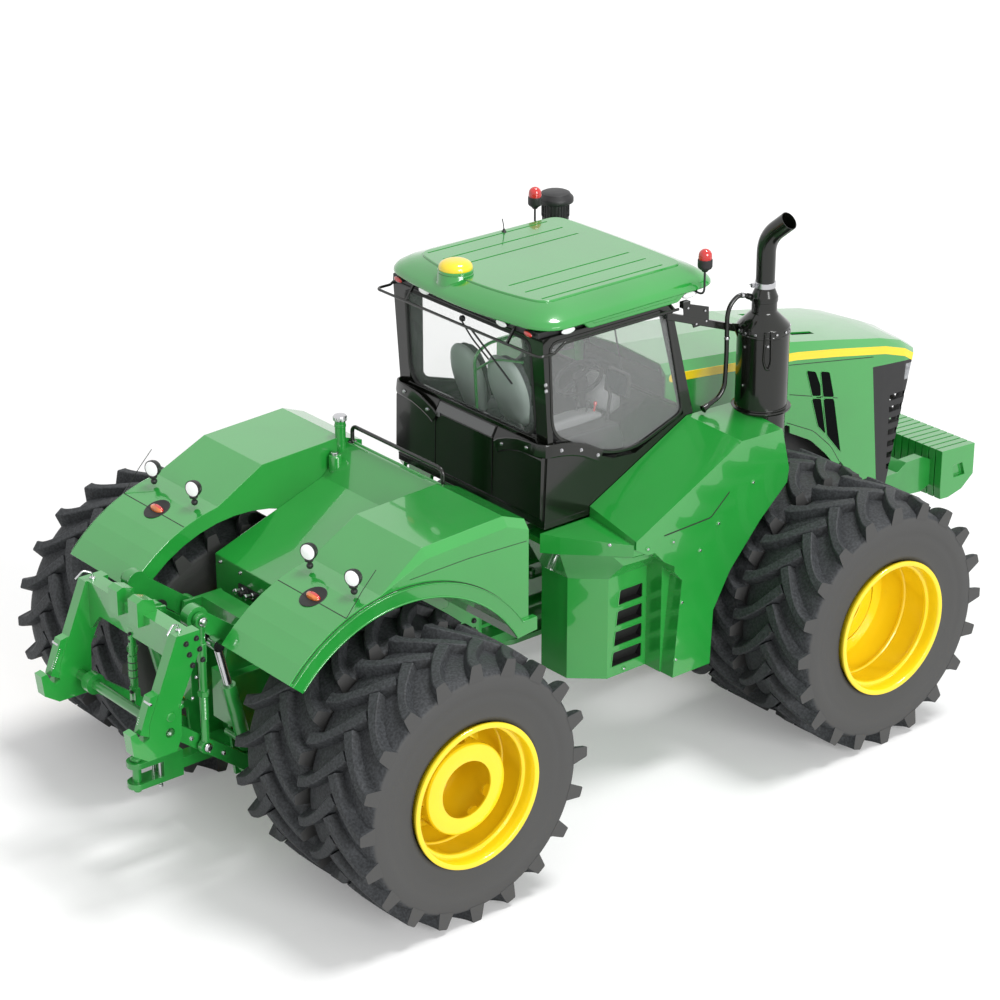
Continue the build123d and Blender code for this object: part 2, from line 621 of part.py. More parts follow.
def hood_parts():
    """Hood panels, the grille that closes the nose, the headlamps set in it and the stripe."""
    shell = hood_solid(0.0) - hood_solid(HOOD_WALL)
    # lower edge of the side panels, open over the front tyres
    below = [(HOOD_REAR_X - 10, 1100), (HOOD_REAR_X - 10, 2250), (2300, 2130), (2560, 2100), (2890, 1930),
             (3120, 1720), (3290, 1520), (3400, 1360), (3440, 1100)]
    shell -= side_prism(below, (-700, 700))
    shell = max(shell.solids(), key=lambda item: item.volume)
    for sign in (1, -1):
        ear = box((HOOD_HINGE_X - 25, HOOD_HINGE_X + 60), sorted((sign * 485, sign * (HOOD_HALF_W - 5))),
                  (HOOD_HINGE_Z - 30, HOOD_HINGE_Z + 25))
        ear &= hood_solid(HOOD_WALL / 2)
        shell += ear
        shell -= cross_rod(HOOD_HINGE_X, sorted((sign * 480, sign * 516)), HOOD_HINGE_Z, HOOD_PIN_R + SHAFT_CLEAR)
        shell -= box(TOP_SLOT_X, sorted((sign * TOP_SLOT_Y[0], sign * TOP_SLOT_Y[1])), (2600, 2900))
    for slot in SIDE_SLOTS:
        shell -= side_prism(slot, (-700, 700))
    nose = side_prism([(GRILLE_REAR_BASE_X, HOOD_BASE_Z - 100), (GRILLE_REAR_TOP_X, 2365), (4500, 2275),
                       (4500, HOOD_BASE_Z - 100)], (-700, 700))
    panels = shell - nose
    grille = shell & nose
    grille -= headlamp_block()
    for level in range(GRILLE_SLOTS):
        z = (GRILLE_SLOT_Z + level * GRILLE_PITCH, GRILLE_SLOT_Z + level * GRILLE_PITCH + GRILLE_SLOT_H)
        lean = NOSE_LEAN * (z[0] - 2360.0)
        grille -= box((NOSE_X + lean - 200, NOSE_X + lean + 50), (-330, 330), z)
        for sign in (1, -1):
            grille -= box((3790, NOSE_X + lean - 210), sorted((sign * 450, sign * 700)), z)
    lamps = (hood_solid(0.0) - hood_solid(LAMP_DEPTH)) & headlamp_block()
    return panels, grille, lamps


# ---------------------------------------------------------------- cab
CAB_SIDE = [(CAB_REAR_X, CAB_FLOOR_Z + CAB_FLOOR_T), (CAB_REAR_X + 30, CAB_SILL_Z), (CAB_REAR_X - 30, CAB_TOP_Z),
            (900, CAB_TOP_Z), (CAB_FRONT_X, 2690), (CAB_FRONT_X, CAB_FLOOR_Z + CAB_FLOOR_T)]
RIGHT_WINDOW = [(-270, 2790), (60, 2640), (330, 2520), (560, 2500), (1060, 2700), (850, 3590), (-300, 3590)]
DOOR_OPENING = [(-190, CAB_FLOOR_Z + CAB_FLOOR_T + 10), (1000, CAB_FLOOR_Z + CAB_FLOOR_T + 10), (1050, 2650),
                (850, 3590), (-190, 3590)]
REAR_WINDOW = [(-770, 2800), (770, 2800), (745, 3590), (-745, 3590)]
FRONT_WINDOW = [(-800, 2700), (800, 2700), (780, 3590), (-780, 3590)]
REAR_PADS = ((-CAB_HALF_W + 15, -318.0), (-306.0, 381.0), (393.0, CAB_HALF_W - 15))
PAD_T = 34.0
DOOR_GAP = 8.0
DOOR_T = 50.0
DOOR_HINGE_X = -200.0
DOOR_HINGE_Y = CAB_HALF_W + 12.0
DOOR_HINGE_Z = (2420.0, 3250.0)
DOOR_KNUCKLE_R = 9.0
DOOR_PIN_R = 5.0


def shrink(points, gap):
    """A closed outline with every edge moved inwards by the gap."""
    area = sum(a[0] * b[1] - b[0] * a[1] for a, b in zip(points, points[1:] + points[:1]))
    turn = 1.0 if area > 0 else -1.0
    moved = []
    for before, here, after in zip(points[-1:] + points[:-1], points, points[1:] + points[:1]):
        ux, uz = here[0] - before[0], here[1] - before[1]
        vx, vz = after[0] - here[0], after[1] - here[1]
        u_len, v_len = hypot(ux, uz), hypot(vx, vz)
        nux, nuz = -turn * uz / u_len, turn * ux / u_len
        nvx, nvz = -turn * vz / v_len, turn * vx / v_len
        scale = gap / (1 + nux * nvx + nuz * nvz)
        moved.append((here[0] + (nux + nvx) * scale, here[1] + (nuz + nvz) * scale))
    return moved


def cab_shell():
    """Hollow cab wall with its windows and door opening cut."""
    outer = side_prism(CAB_SIDE, (-CAB_HALF_W, CAB_HALF_W))
    inner_outline = [(CAB_REAR_X + CAB_WALL, 2000), (CAB_REAR_X + 30 + CAB_WALL, CAB_SILL_Z),
                     (CAB_REAR_X - 30 + CAB_WALL, CAB_TOP_Z + 50), (900 - CAB_WALL, CAB_TOP_Z + 50),
                     (CAB_FRONT_X - CAB_WALL, 2690), (CAB_FRONT_X - CAB_WALL, 2000)]
    half_in = CAB_HALF_W - CAB_WALL
    shell = outer - side_prism(inner_outline, (-half_in, half_in))
    shell -= side_prism(RIGHT_WINDOW, (-CAB_HALF_W - 1, -half_in + 1))
    shell -= side_prism(DOOR_OPENING, (half_in - 1, CAB_HALF_W + 1))
    shell -= cross_prism(REAR_WINDOW, (CAB_REAR_X - 60, CAB_REAR_X + 150))
    shell -= cross_prism(FRONT_WINDOW, (600, CAB_FRONT_X + 10))
    for z in DOOR_HINGE_Z:
        shell += box((DOOR_HINGE_X - 40, DOOR_HINGE_X), (CAB_HALF_W - 5, DOOR_HINGE_Y), (z - 34, z - 4))
        shell += post(DOOR_HINGE_X, DOOR_HINGE_Y, (z - 34, z - 4), DOOR_KNUCKLE_R)
        shell += post(DOOR_HINGE_X, DOOR_HINGE_Y, (z - 10, z + 64), DOOR_PIN_R)
    return shell


def rear_pads():
    """Raised panels on the lower rear wall of the cab, with sloped top ledges."""
    pads = []
    for low_y, high_y in REAR_PADS:
        profile = [(CAB_REAR_X + 5, CAB_FLOOR_Z + 60), (CAB_REAR_X - PAD_T, CAB_FLOOR_Z + 100),
                   (CAB_REAR_X + 10 - PAD_T, CAB_SILL_Z - 110), (CAB_REAR_X + 25, CAB_SILL_Z - 20),
                   (CAB_REAR_X + 45, CAB_SILL_Z - 20)]
        pads.append(side_prism(profile, (low_y, high_y)))
    return fuse(pads)


def cab_parts():
    """Pillar frame and lower body panels, split along the sill."""
    shell = cab_shell()
    low = side_prism([(CAB_REAR_X - 60, 2100), (CAB_REAR_X - 60, CAB_SILL_Z), (-270, CAB_SILL_Z - 10), (60, 2630),
                      (330, 2510), (560, 2490), (1060, 2690), (1200, 2690), (1200, 2100)],
                     (-CAB_HALF_W - 60, CAB_HALF_W + 60))
    return shell - low, (shell & low) + rear_pads()


def cab_glass():
    """Fixed panes: windscreen, rear window and right window."""
    half_in = CAB_HALF_W - CAB_WALL
    seat = GLASS_SEAT
    right = side_prism(shrink(RIGHT_WINDOW, seat), (-half_in - GLASS_T - 20, -half_in - 20))
    lean = 60 / (CAB_TOP_Z - CAB_SILL_Z)
    rear_x = [CAB_REAR_X + 50 - lean * (z - CAB_SILL_Z) for z in (CAB_SILL_Z, CAB_TOP_Z)]
    slab = [(rear_x[0], CAB_SILL_Z), (rear_x[0] + GLASS_T, CAB_SILL_Z), (rear_x[1] + GLASS_T, CAB_TOP_Z),
            (rear_x[1], CAB_TOP_Z)]
    rear_pane = side_prism(slab, (-CAB_HALF_W, CAB_HALF_W)) & cross_prism(shrink(REAR_WINDOW, seat), (-700, 0))
    front_x = (CAB_FRONT_X - 20, 900 - 20)
    slab = [(front_x[0], 2690), (front_x[0] - GLASS_T, 2690), (front_x[1] - GLASS_T, CAB_TOP_Z),
            (front_x[1], CAB_TOP_Z)]
    front_pane = side_prism(slab, (-CAB_HALF_W, CAB_HALF_W)) & cross_prism(shrink(FRONT_WINDOW, seat), (500, 1300))
    return group(right, rear_pane, front_pane)


def door_parts():
    """Door frame with its window, and the pane in it."""
    outline = shrink(DOOR_OPENING, DOOR_GAP)
    y_out = CAB_HALF_W - 5
    window = [(-130, 2760), (500, 2560), (960, 2690), (790, 3530), (-130, 3530)]
    frame = side_prism(outline, (y_out - DOOR_T, y_out)) - side_prism(window, (y_out - DOOR_T - 1, y_out + 1))
    for z in DOOR_HINGE_Z:
        frame += box((DOOR_HINGE_X, DOOR_HINGE_X + 60), (DOOR_HINGE_Y - 3, DOOR_HINGE_Y + 7), (z, z + 60))
        frame += box((DOOR_HINGE_X + 25, DOOR_HINGE_X + 60), (y_out - 5, DOOR_HINGE_Y + 7), (z, z + 60))
        frame += post(DOOR_HINGE_X, DOOR_HINGE_Y, (z, z + 60), DOOR_KNUCKLE_R)
        frame -= post(DOOR_HINGE_X, DOOR_HINGE_Y, (z - 1, z + 61), DOOR_PIN_R + SHAFT_CLEAR)
    pane = side_prism(shrink(window, GLASS_SEAT), (y_out - DOOR_T / 2 - GLASS_T, y_out - DOOR_T / 2))
    return frame, pane


def roof_face(rear, front, bows, radius, z):
    """Rounded outline of the roof at one height, its rear and front edges bowed outwards."""
    (rear_x, rear_y), (front_x, front_y) = rear, front
    edges = [ThreePointArc((rear_x, -rear_y), (rear_x - bows[0], 0), (rear_x, rear_y)),
             Line((rear_x, rear_y), (front_x, front_y)),
             ThreePointArc((front_x, front_y), (front_x + bows[1], 0), (front_x, -front_y)),
             Line((front_x, -front_y), (rear_x, -rear_y))]
    outline = make_face(edges)
    return Pos(0, 0, z) * fillet(outline.vertices(), radius)


def cab_roof():
    """Roof panel with rounded corners, a raised middle, lengthwise grooves and a deeper band along each side."""
    bows = (ROOF_BOW, ROOF_FRONT_BOW)
    base = roof_face(ROOF_REAR, ROOF_FRONT, bows, ROOF_CORNER_R, ROOF_BOTTOM_Z)
    shoulder = roof_face(ROOF_REAR, ROOF_FRONT, bows, ROOF_CORNER_R, ROOF_EDGE_Z)
    rear_x, front_x, half_w = ROOF_PANEL
    raised = roof_face((rear_x, half_w), (front_x, half_w), bows, ROOF_PANEL_CORNER_R, ROOF_TOP_Z)
    body = extrude(base, ROOF_EDGE_Z - ROOF_BOTTOM_Z) + loft([shoulder, raised], ruled=True)
    low_x, high_x = ROOF_POD_X
    pod = [(low_x, ROOF_EDGE_Z), (low_x, ROOF_BOTTOM_Z), (low_x + ROOF_POD_RUN, ROOF_POD_Z),
           (high_x - ROOF_POD_RUN, ROOF_POD_Z), (high_x, ROOF_BOTTOM_Z), (high_x, ROOF_EDGE_Z)]
    for sign in (1, -1):
        body += side_prism(pod, sorted((sign * RIM_TRAY_Y, sign * (ROOF_FRONT[1] + 8))))
        for y in ROOF_GROOVE_Y:
            middle = sign * y
            body -= box(ROOF_GROOVE_X, (middle - ROOF_GROOVE_W / 2, middle + ROOF_GROOVE_W / 2),
                        (ROOF_TOP_Z - ROOF_GROOVE_D, ROOF_TOP_Z + 1))
    return body - roof_rails()


def roof_lamps():
    """Work lamps under the roof's rear and side edges."""
    made = []
    for y in ROOF_LAMP_Y:
        made.append(box((-425, -400), (y - 55, y + 55), (3652, 3698)))
    return group(made)


def roof_rim():
    """Dark tray under the roof panel that sits on the pillar frame."""
    return box((-400, 1180), (-RIM_TRAY_Y, RIM_TRAY_Y), (CAB_TOP_Z, ROOF_BOTTOM_Z))


# ---------------------------------------------------------------- cab interior
def seats():
    """Operator's seat and instructor's seat on their pedestals."""
    floor = CAB_FLOOR_Z + CAB_FLOOR_T
    seats_made = []
    for x, y, half, rise in ((120.0, 0.0, 260.0, 2540.0), (90.0, 480.0, 200.0, 2520.0)):
        pedestal = box((x - 20, x + 320), (y - half + 90, y + half - 90), (floor, rise - 60))
        cushion = box((x - 40, x + 480), (y - half, y + half), (rise - 60, rise + 60))
        back = side_prism([(x - 20, rise + 60), (x + 110, rise + 60), (x - 20, rise + 690), (x - 120, rise + 690)],
                          (y - half, y + half))
        seats_made.append(fuse(pedestal, cushion, back))
    return group(*seats_made)


def steering_column():
    """Steering column with its wheel."""
    floor = CAB_FLOOR_Z + CAB_FLOOR_T
    column = rod((945, 0, floor - 60), (780, 0, 2790), 55) - box((700, 1100), (-100, 100), (floor - 200, floor))
    centre = Plane(origin=(765, 0, 2800), z_dir=(-0.45, 0, 0.9))
    wheel = centre * (Cylinder(205, 26) - Cylinder(178, 30))
    wheel += centre * Box(370, 44, 16)
    wheel += centre * Cylinder(50, 60)
    return column + wheel


def side_console():
    """Armrest console to the right of the operator's seat."""
    floor = CAB_FLOOR_Z + CAB_FLOOR_T
    return side_prism([(0, floor), (620, floor), (700, 2500), (640, 2640), (0, 2660)], (-620, -330))


def cab_floor():
    """Cab floor plate on the two beams."""
    return box((CAB_REAR_X, CAB_FRONT_X), (-CAB_HALF_W, CAB_HALF_W), (CAB_FLOOR_Z, CAB_FLOOR_Z + CAB_FLOOR_T))


# ---------------------------------------------------------------- side tank, platform, stacks
# outer edge of the front fenders, as distances behind the front axle and heights
ARCH = [(AXLE_X - back, z) for back, z in
        ((1201, 792), (1180, 1250), (1010, 1544), (702, 1883), (420, 2129), (404, 2244), (533, 2760))]


def tilt_cut(shape, origin, slope_x, slope_y):
    """Keep what lies below the plane z = origin z + slope_x * dx + slope_y * d|y| on the right side."""
    normal = Vector(-slope_x, slope_y, 1)
    return split(shape, bisect_by=Plane(origin=origin, z_dir=normal), keep=Keep.BOTTOM)


def right_tank():
    """Right side tank with its tray, sloped fender and louvred panel."""
    upper = ARCH + [(100, 2760), (100, 2000), (500, 1750), (500, 792)]
    fender = side_prism(upper, (-TANK_OUT_Y, -CAB_HALF_W - TANK_CAB_GAP))
    fender = tilt_cut(fender, (252, -CAB_HALF_W, 2262), 0.499, -0.2158)
    fender = tilt_cut(fender, (1092, -CAB_HALF_W, 2681), -0.0282, -0.1304)
    rim_plan = [(-400, -907), (-303, -1025), (98, -1415), (300, -TANK_OUT_Y), (520, -TANK_OUT_Y), (520, -907)]
    tray = plan_prism(rim_plan, (1940, 2150))
    tray = tilt_cut(tray, (-400, -CAB_HALF_W, 2100), 0.0, -0.13)
    lower_plan = [(-135, -TANK_IN_Y), (-130, -919), (103, -TANK_BOX_Y), (475, -TANK_BOX_Y), (500, -TANK_BOX_Y),
                  (500, -TANK_IN_Y)]
    lower = plan_prism(lower_plan, (792, 1650))
    flare_low = Wire.make_polygon([Vector(px, py, 1650) for px, py in lower_plan], close=True)
    flare_high = Wire.make_polygon([Vector(px, py, 1940) for px, py in
                                    [(-300, -TANK_IN_Y), (-303, -1025), (98, -1415), (300, -TANK_OUT_Y),
                                     (500, -TANK_OUT_Y), (500, -TANK_IN_Y)]], close=True)
    flare = Solid.make_loft([flare_low, flare_high], ruled=True)
    inner = side_prism([(500, 792)] + ARCH[:4] + [(1402, 1990), (-300, 1990), (-300, 1940), (-135, 1650), (-135, 792)],
                       (-CAB_HALF_W - TANK_CAB_GAP, -TANK_IN_Y))
    body = fuse(fender, tray, lower, flare, inner)
    body -= side_prism([(500, 700), (582, 1611), (293, 1925), (0, 1925), (0, 700)], (-TANK_OUT_Y - 1, -1300))
    for index in range(LOUVRES):
        z_low = LOUVRE_Z + index * LOUVRE_PITCH
        z_high = z_low + LOUVRE_H
        opening = side_prism([(LOUVRE_X[0] + (z_low - LOUVRE_Z) * LOUVRE_LEAN, z_low), (LOUVRE_X[1], z_low),
                              (LOUVRE_X[1], z_high), (LOUVRE_X[0] + (z_high - LOUVRE_Z) * LOUVRE_LEAN, z_high)],
                             (-TANK_BOX_Y - 1, -TANK_BOX_Y + LOUVRE_D))
        blade = cross_prism([(-TANK_BOX_Y + LOUVRE_D, z_low), (-TANK_BOX_Y + LOUVRE_D, z_high),
                             (-TANK_BOX_Y + 12, z_high)], (0, 500))
        body -= opening - blade
    body -= post(STACK_X, -STACK_Y, (2200, 2900), STACK_R + STACK_FIT)
    body -= post(STACK_X, -STACK_Y, (STACK_RING_Z, 2900), STACK_RING_R + STACK_FIT)
    return body


def left_platform():
    """Left fender, platform and steps up to the cab door."""
    fender = side_prism(ARCH[:6] + [(1571, CLEANER_BASE_Z), (1110, CLEANER_BASE_Z), (1110, 2110), (820, 2110), (820, 792)],
                        (CAB_HALF_W + TANK_CAB_GAP, TANK_OUT_Y))
    inner = side_prism([(820, 792)] + ARCH[:4] + [(1402, 1990), (820, 1990)],
                       (TANK_IN_Y, CAB_HALF_W + TANK_CAB_GAP))
    deck_plan = [(-130, TANK_IN_Y), (-130, CAB_HALF_W), (-290, CAB_HALF_W + 10), (-250, 1010), (120, 1390),
                 (180, TANK_OUT_Y), (820, TANK_OUT_Y), (820, TANK_IN_Y)]
    deck = plan_prism(deck_plan, (2030, 2090))
    steps = [fender, inner, deck]
    for x in (170.0, 760.0):
        steps.append(side_prism([(x, 480), (x + 30, 480), (x + 30, 2040), (x, 2040)], (1150, TANK_OUT_Y)))
    for level in range(5):
        z = 520 + level * 300
        steps.append(box((190, 780), (1150, TANK_OUT_Y), (z, z + 40)))
    return fuse(steps)


def exhaust_stack():
    """Muffler, neck and elbow pipe of the exhaust."""
    y = -STACK_Y
    bottom = 2340.0
    parts = [post(STACK_X, y, (bottom, 3330), STACK_R)]
    parts.append(post(STACK_X, y, (STACK_RING_Z, STACK_RING_Z + 35), STACK_RING_R))
    cone = Pos(STACK_X, y, 3330 + 45) * Cone(STACK_R, 105, 90)
    parts.append(cone)
    parts.append(post(STACK_X, y, (3420, 3590), 96))
    parts.append(post(STACK_X, y, (3590, 3650), 60))
    pipe = tube([(STACK_X, y, 3640), (STACK_X, y, 4040), (STACK_X + 40, y - 190, 4220)], 120, 75)
    parts.append(pipe)
    return fuse(parts)


def air_precleaner():
    """Air cleaner canister with a mushroom cap on the left."""
    x, y = CLEANER_X, STACK_Y
    parts = [post(x, y, (CLEANER_BASE_Z, 3350), 200), Pos(x, y, 3395) * Cone(200, 110, 90)]
    parts.append(post(x, y, (3430, 3860), 110))
    parts.append(post(x, y, (3860, 3900), 148))
    parts.append(Pos(x, y, 3925) * Cone(148, 110, 50))
    return fuse(parts)


# ---------------------------------------------------------------- roof and cab fittings
def roof_rails():
    """Black rail looped round the rear and the sides under the roof edge."""
    y = CAB_HALF_W + 85.0
    points = [(900, -y, 3620), (-240, -y, 3620), (-340, -y, 3560), (-480, -y, 3560), (-480, y, 3560),
              (-340, y, 3560), (-240, y, 3620), (900, y, 3620)]
    rail = tube(points, 50, 11)
    stays = []
    for sign in (1, -1):
        stays.append(cross_prism([(sign * RIM_TRAY_Y, 3690), (sign * (y + 8), 3628), (sign * (y + 8), 3612),
                                  (sign * (y - 8), 3612), (sign * RIM_TRAY_Y, 3665)], (850, 866)))
        stays.append(side_prism([(-400, 3690), (-488, 3568), (-488, 3552), (-472, 3552), (-400, 3660)],
                                sorted((sign * 600, sign * 616))))
    return fuse(rail, stays)


def stack_bracket():
    """Beam from the cab corner to the muffler, with a plate hung under it."""
    beam = side_prism([(820, 3540), (820, 3600), (1640, 3300), (1640, 3240)], (-CAB_HALF_W - 50, -CAB_HALF_W))
    return beam - post(STACK_X, -STACK_Y, (3000, 3500), STACK_R + STACK_FIT)


def beacons():
    """Two warning beacons on stalks from the roof's front corners."""
    made = []
    for sign in (1, -1):
        stalk = tube([(1150, sign * RIM_TRAY_Y, 3680), (1150, sign * 1000, 3680), (1150, sign * 1000, 3900)], 60, 9)
        lamp = post(1150, sign * 1000, (3900, 4010), 58) + Pos(1150, sign * 1000, 4010) * Sphere(58)
        made.append(stalk + lamp)
    return group(made)


def gps_receiver():
    """Receiver dome on its base at the roof's rear edge."""
    dome = fuse(post(-300, 190, (ROOF_EDGE_Z - 20, 3850), 135), Pos(-300, 190, 3890) * Cone(135, 105, 80))
    return dome - cab_roof()


# ---------------------------------------------------------------- rear half
def rear_frame():
    """Rails, hinge tongues, hitch tower and drawbar support of the rear half."""
    body = []
    body += both_sides(box((-REAR_RAIL_END, -BULKHEAD_X), (RAIL_IN_Y, RAIL_OUT_Y), (RAIL_BOTTOM, RAIL_TOP)))
    body.append(box((-BULKHEAD_X - BULKHEAD_T, -BULKHEAD_X), (-RAIL_OUT_Y, RAIL_OUT_Y),
                    (BULKHEAD_BOTTOM, BULKHEAD_TOP)))
    for z in (UPPER_PIVOT_Z, LOWER_PIVOT_Z):
        body.append(rounded_tongue(-BULKHEAD_X, (z - TONGUE_T / 2, z + TONGUE_T / 2), FORK_R,
                                   PIVOT_PIN_R + SHAFT_CLEAR))
    lug_top = STEER_Z - STEER_EYE_T / 2 - STEER_STACK_GAP
    lug = box((-BULKHEAD_X, -STEER_REAR_X), (STEER_Y - 45, STEER_Y + 45), (lug_top - STEER_LUG_T, lug_top))
    lug += post(-STEER_REAR_X, STEER_Y, (lug_top - STEER_LUG_T, lug_top), 45)
    body += both_sides(lug)
    # saddles under the fuel tank
    body += both_sides(box((-2300, -1100), (RAIL_IN_Y, RAIL_OUT_Y), (RAIL_TOP, DECK_TANK_Z)))
    # rear wall of the frame and side plates of the hitch
    px, pz = LOWER_PIN
    body.append(box((-REAR_RAIL_END, -REAR_RAIL_END + 60), (-RAIL_OUT_Y, -140), (RAIL_BOTTOM - 100, RAIL_TOP)))
    body.append(box((-REAR_RAIL_END, -REAR_RAIL_END + 60), (140, RAIL_OUT_Y), (RAIL_BOTTOM - 100, RAIL_TOP)))
    plate = side_prism([(px - 80, pz - 90), (px + 260, pz - 90), (px + 420, RAIL_BOTTOM), (px + 420, RAIL_TOP),
                        (px + 250, pz + ARM_PIVOT_RISE + 110), (px - 90, pz + ARM_PIVOT_RISE + 110),
                        (px - 150, RAIL_TOP)], (RAIL_IN_Y - 30, RAIL_IN_Y))
    body += both_sides(plate)
    body.append(box((px + 60, px + 240), (-RAIL_IN_Y, RAIL_IN_Y), (pz + ARM_PIVOT_RISE - 40,
                                                                  pz + ARM_PIVOT_RISE + 110)))
    body.append(box((px + 200, px + 260), (-RAIL_IN_Y, RAIL_IN_Y), (pz - 90, pz + 150)))
    for sign in (1, -1):
        # pins that carry the lower links and the lift arms
        body.append(cross_rod(px, sorted((sign * (RAIL_IN_Y - 30), sign * LINK_OUT_Y)), pz, LINK_PIN_R))
        body.append(cross_rod(px, sorted((sign * (RAIL_IN_Y - 30), sign * ARM_OUT_Y)), pz + ARM_PIVOT_RISE, ARM_PIN_R))
        body.append(cross_rod(LIFT_BASE[0], sorted((sign * (RAIL_IN_Y - 30), sign * (LIFT_MID_Y + 35))),
                              LIFT_BASE[1], LIFT_PIN_R))
    # top link pin between its two lugs
    tx, tz = top_front_pin()
    for sign in (1, -1):
        body.append(side_prism([(tx - 50, tz - 60), (tx + 80, tz - 60), (tx + 80, tz + 110), (tx, tz + 70),
                                (tx - 50, tz + 40)], sorted((sign * 45, sign * 75))))
    body.append(box((tx + 75, tx + 135), (-RAIL_IN_Y, RAIL_IN_Y), (tz - 60, tz + 110)))
    body.append(cross_rod(tx, (-74, 74), tz, TOP_PIN_R))
    return fuse(body)


def guard_point(radius, angle):
    """Side view point on a circle about the rear axle, the angle in degrees up from straight ahead."""
    return (-AXLE_X + radius * cos(radians(angle)), AXLE_Z + radius * sin(radians(angle)))


def guard_arc(radius, start, end, steps):
    """Side view points along an arc about the rear axle."""
    return [guard_point(radius, start + (end - start) * index / steps) for index in range(steps + 1)]


def fender(sign):
    """Rear fender: angular cover over a rounded mudguard, with a lip round the wheel opening."""
    arc = guard_arc(GUARD_IN_R, *GUARD_ANGLES, 14)
    over = guard_arc(GUARD_OUT_R, GUARD_ANGLES[1], 98.5, 6)
    ridge = [(-1888, 2576), (-1142, 2610), (-939, 2533)]
    body = side_prism(arc + over + ridge + [(-939, 1740)], sorted((sign * DECK_HALF_W, sign * FENDER_OUT_Y)))
    # bevel between the top and the outer side
    inner_y = FENDER_OUT_Y - BEVEL_W
    for (x0, z0), (x1, z1) in zip(ridge, ridge[1:]):
        dx, dz = x1 - x0, z1 - z0
        outline = [(x0 - dx, sign * inner_y, z0 - dz), (x0 - dx, sign * (inner_y + 2 * BEVEL_W), z0 - dz),
                   (x0 - dx, sign * (inner_y + 2 * BEVEL_W), z0 - dz - 2 * BEVEL_H)]
        if z1 > z0:
            outline = [(px + dx, py, pz + dz) for px, py, pz in outline]
        body -= prism(outline, (dx * 3, 0, dz * 3))
    x0, z0 = ridge[0]
    x1, z1 = over[-1]
    body -= prism([(x0, sign * inner_y, z0), (x0, sign * (inner_y + 2 * BEVEL_W), z0 - 2 * BEVEL_H),
                   (2 * x1 - x0, sign * (inner_y + 2 * BEVEL_W), 2 * z1 - z0)], (0, 0, 400))
    lip = guard_arc(GUARD_IN_R, *GUARD_ANGLES, 14) + guard_arc(LIP_OUT_R, GUARD_ANGLES[1], GUARD_ANGLES[0], 14)
    lip_y = sorted((sign * (FENDER_OUT_Y - LIP_W), sign * (FENDER_OUT_Y + LIP_W)))
    foot = [guard_point(GUARD_IN_R, GUARD_ANGLES[0]), (-877, 1650), (-877, 1755), (-1010, 1755)]
    body += side_prism(lip, lip_y) + side_prism(foot, lip_y)
    pocket_out = guard_point(GUARD_OUT_R + 60, MARKER_ANGLE)
    pocket_in = guard_point(GUARD_OUT_R - MARKER_POCKET_D, MARKER_ANGLE)
    return body - rod((pocket_in[0], sign * MARKER_Y, pocket_in[1]), (pocket_out[0], sign * MARKER_Y, pocket_out[1]),
                      MARKER_POCKET_R)


def marker_lamps():
    """Oval marker lamps standing in the round pockets of the two mudguards."""
    made = []
    foot = guard_point(GUARD_OUT_R - MARKER_POCKET_D, MARKER_ANGLE)
    outward = (cos(radians(MARKER_ANGLE)), 0, sin(radians(MARKER_ANGLE)))
    for sign in (1, -1):
        place = Plane(origin=(foot[0], sign * MARKER_Y, foot[1]), x_dir=(0, 1, 0), z_dir=outward)
        made.append(extrude(place * SlotOverall(MARKER_L, MARKER_H), MARKER_POCKET_D + 20))
    return group(made)


def fuel_tank():
    """Fuel tank between the fenders, its sloped top the centre deck."""
    outline = [(-1030, DECK_TANK_Z), (-1030, 2555), (-1090, 2555), (-1330, 2330), (-2343, 1977),
               (-2343, DECK_TANK_Z)]
    return side_prism(outline, (-DECK_HALF_W, DECK_HALF_W))


def deck_rail():
    """Black hand rail along the front edge of the deck."""
    return tube([(-1055, -560, 2555), (-1055, -560, 2690), (-1055, 560, 2690), (-1055, 560, 2555)], 50, 16)


def fuel_filler():
    """Filler neck with its cap at the left front corner of the deck, and a capped sleeve beside it."""
    neck = post(-1140, 600, (2440, 2745), 42) - fuel_tank() - fender(1)
    cap = post(-1140, 600, (2745, 2790), 52)
    sleeve = post(-1240, 540, (2300, 2500), 50) - fuel_tank()
    return group(neck + cap, sleeve + post(-1240, 540, (2500, 2525), 30))


def fender_lamps():
    """Work lamps on stalks and oval reflector lamps on the mudguards."""
    made = []
    for sign in (1, -1):
        for y in (732.0, 1269.0):
            stalk = post(-2420, sign * y, (2270, 2480), 14)
            made.append((stalk - fender(sign)) + rod((-2420, sign * y, 2480), (-2470, sign * y, 2500), 62))
    return group(made)


def drawbar():
    """Heavy drawbar with its clevis, on a cross support under the hitch."""
    x_tip = -3560.0
    bar = box((x_tip + 330, -2600), (-60, 60), (690, 770))
    clevis = []
    for z in (640.0, 810.0):
        clevis.append(box((x_tip + 60, x_tip + 420), (-75, 75), (z, z + 45)) + post(x_tip + 60, 0, (z, z + 45), 75))
    block = box((x_tip + 250, x_tip + 420), (-75, 75), (640, 855))
    support = box((-2760, -2560), (-RAIL_IN_Y + 30, RAIL_IN_Y - 30), (640, 690))
    body = fuse(bar, clevis, block, support)
    return body - post(x_tip + 60, 0, (600, 900), DRAWBAR_PIN_R)


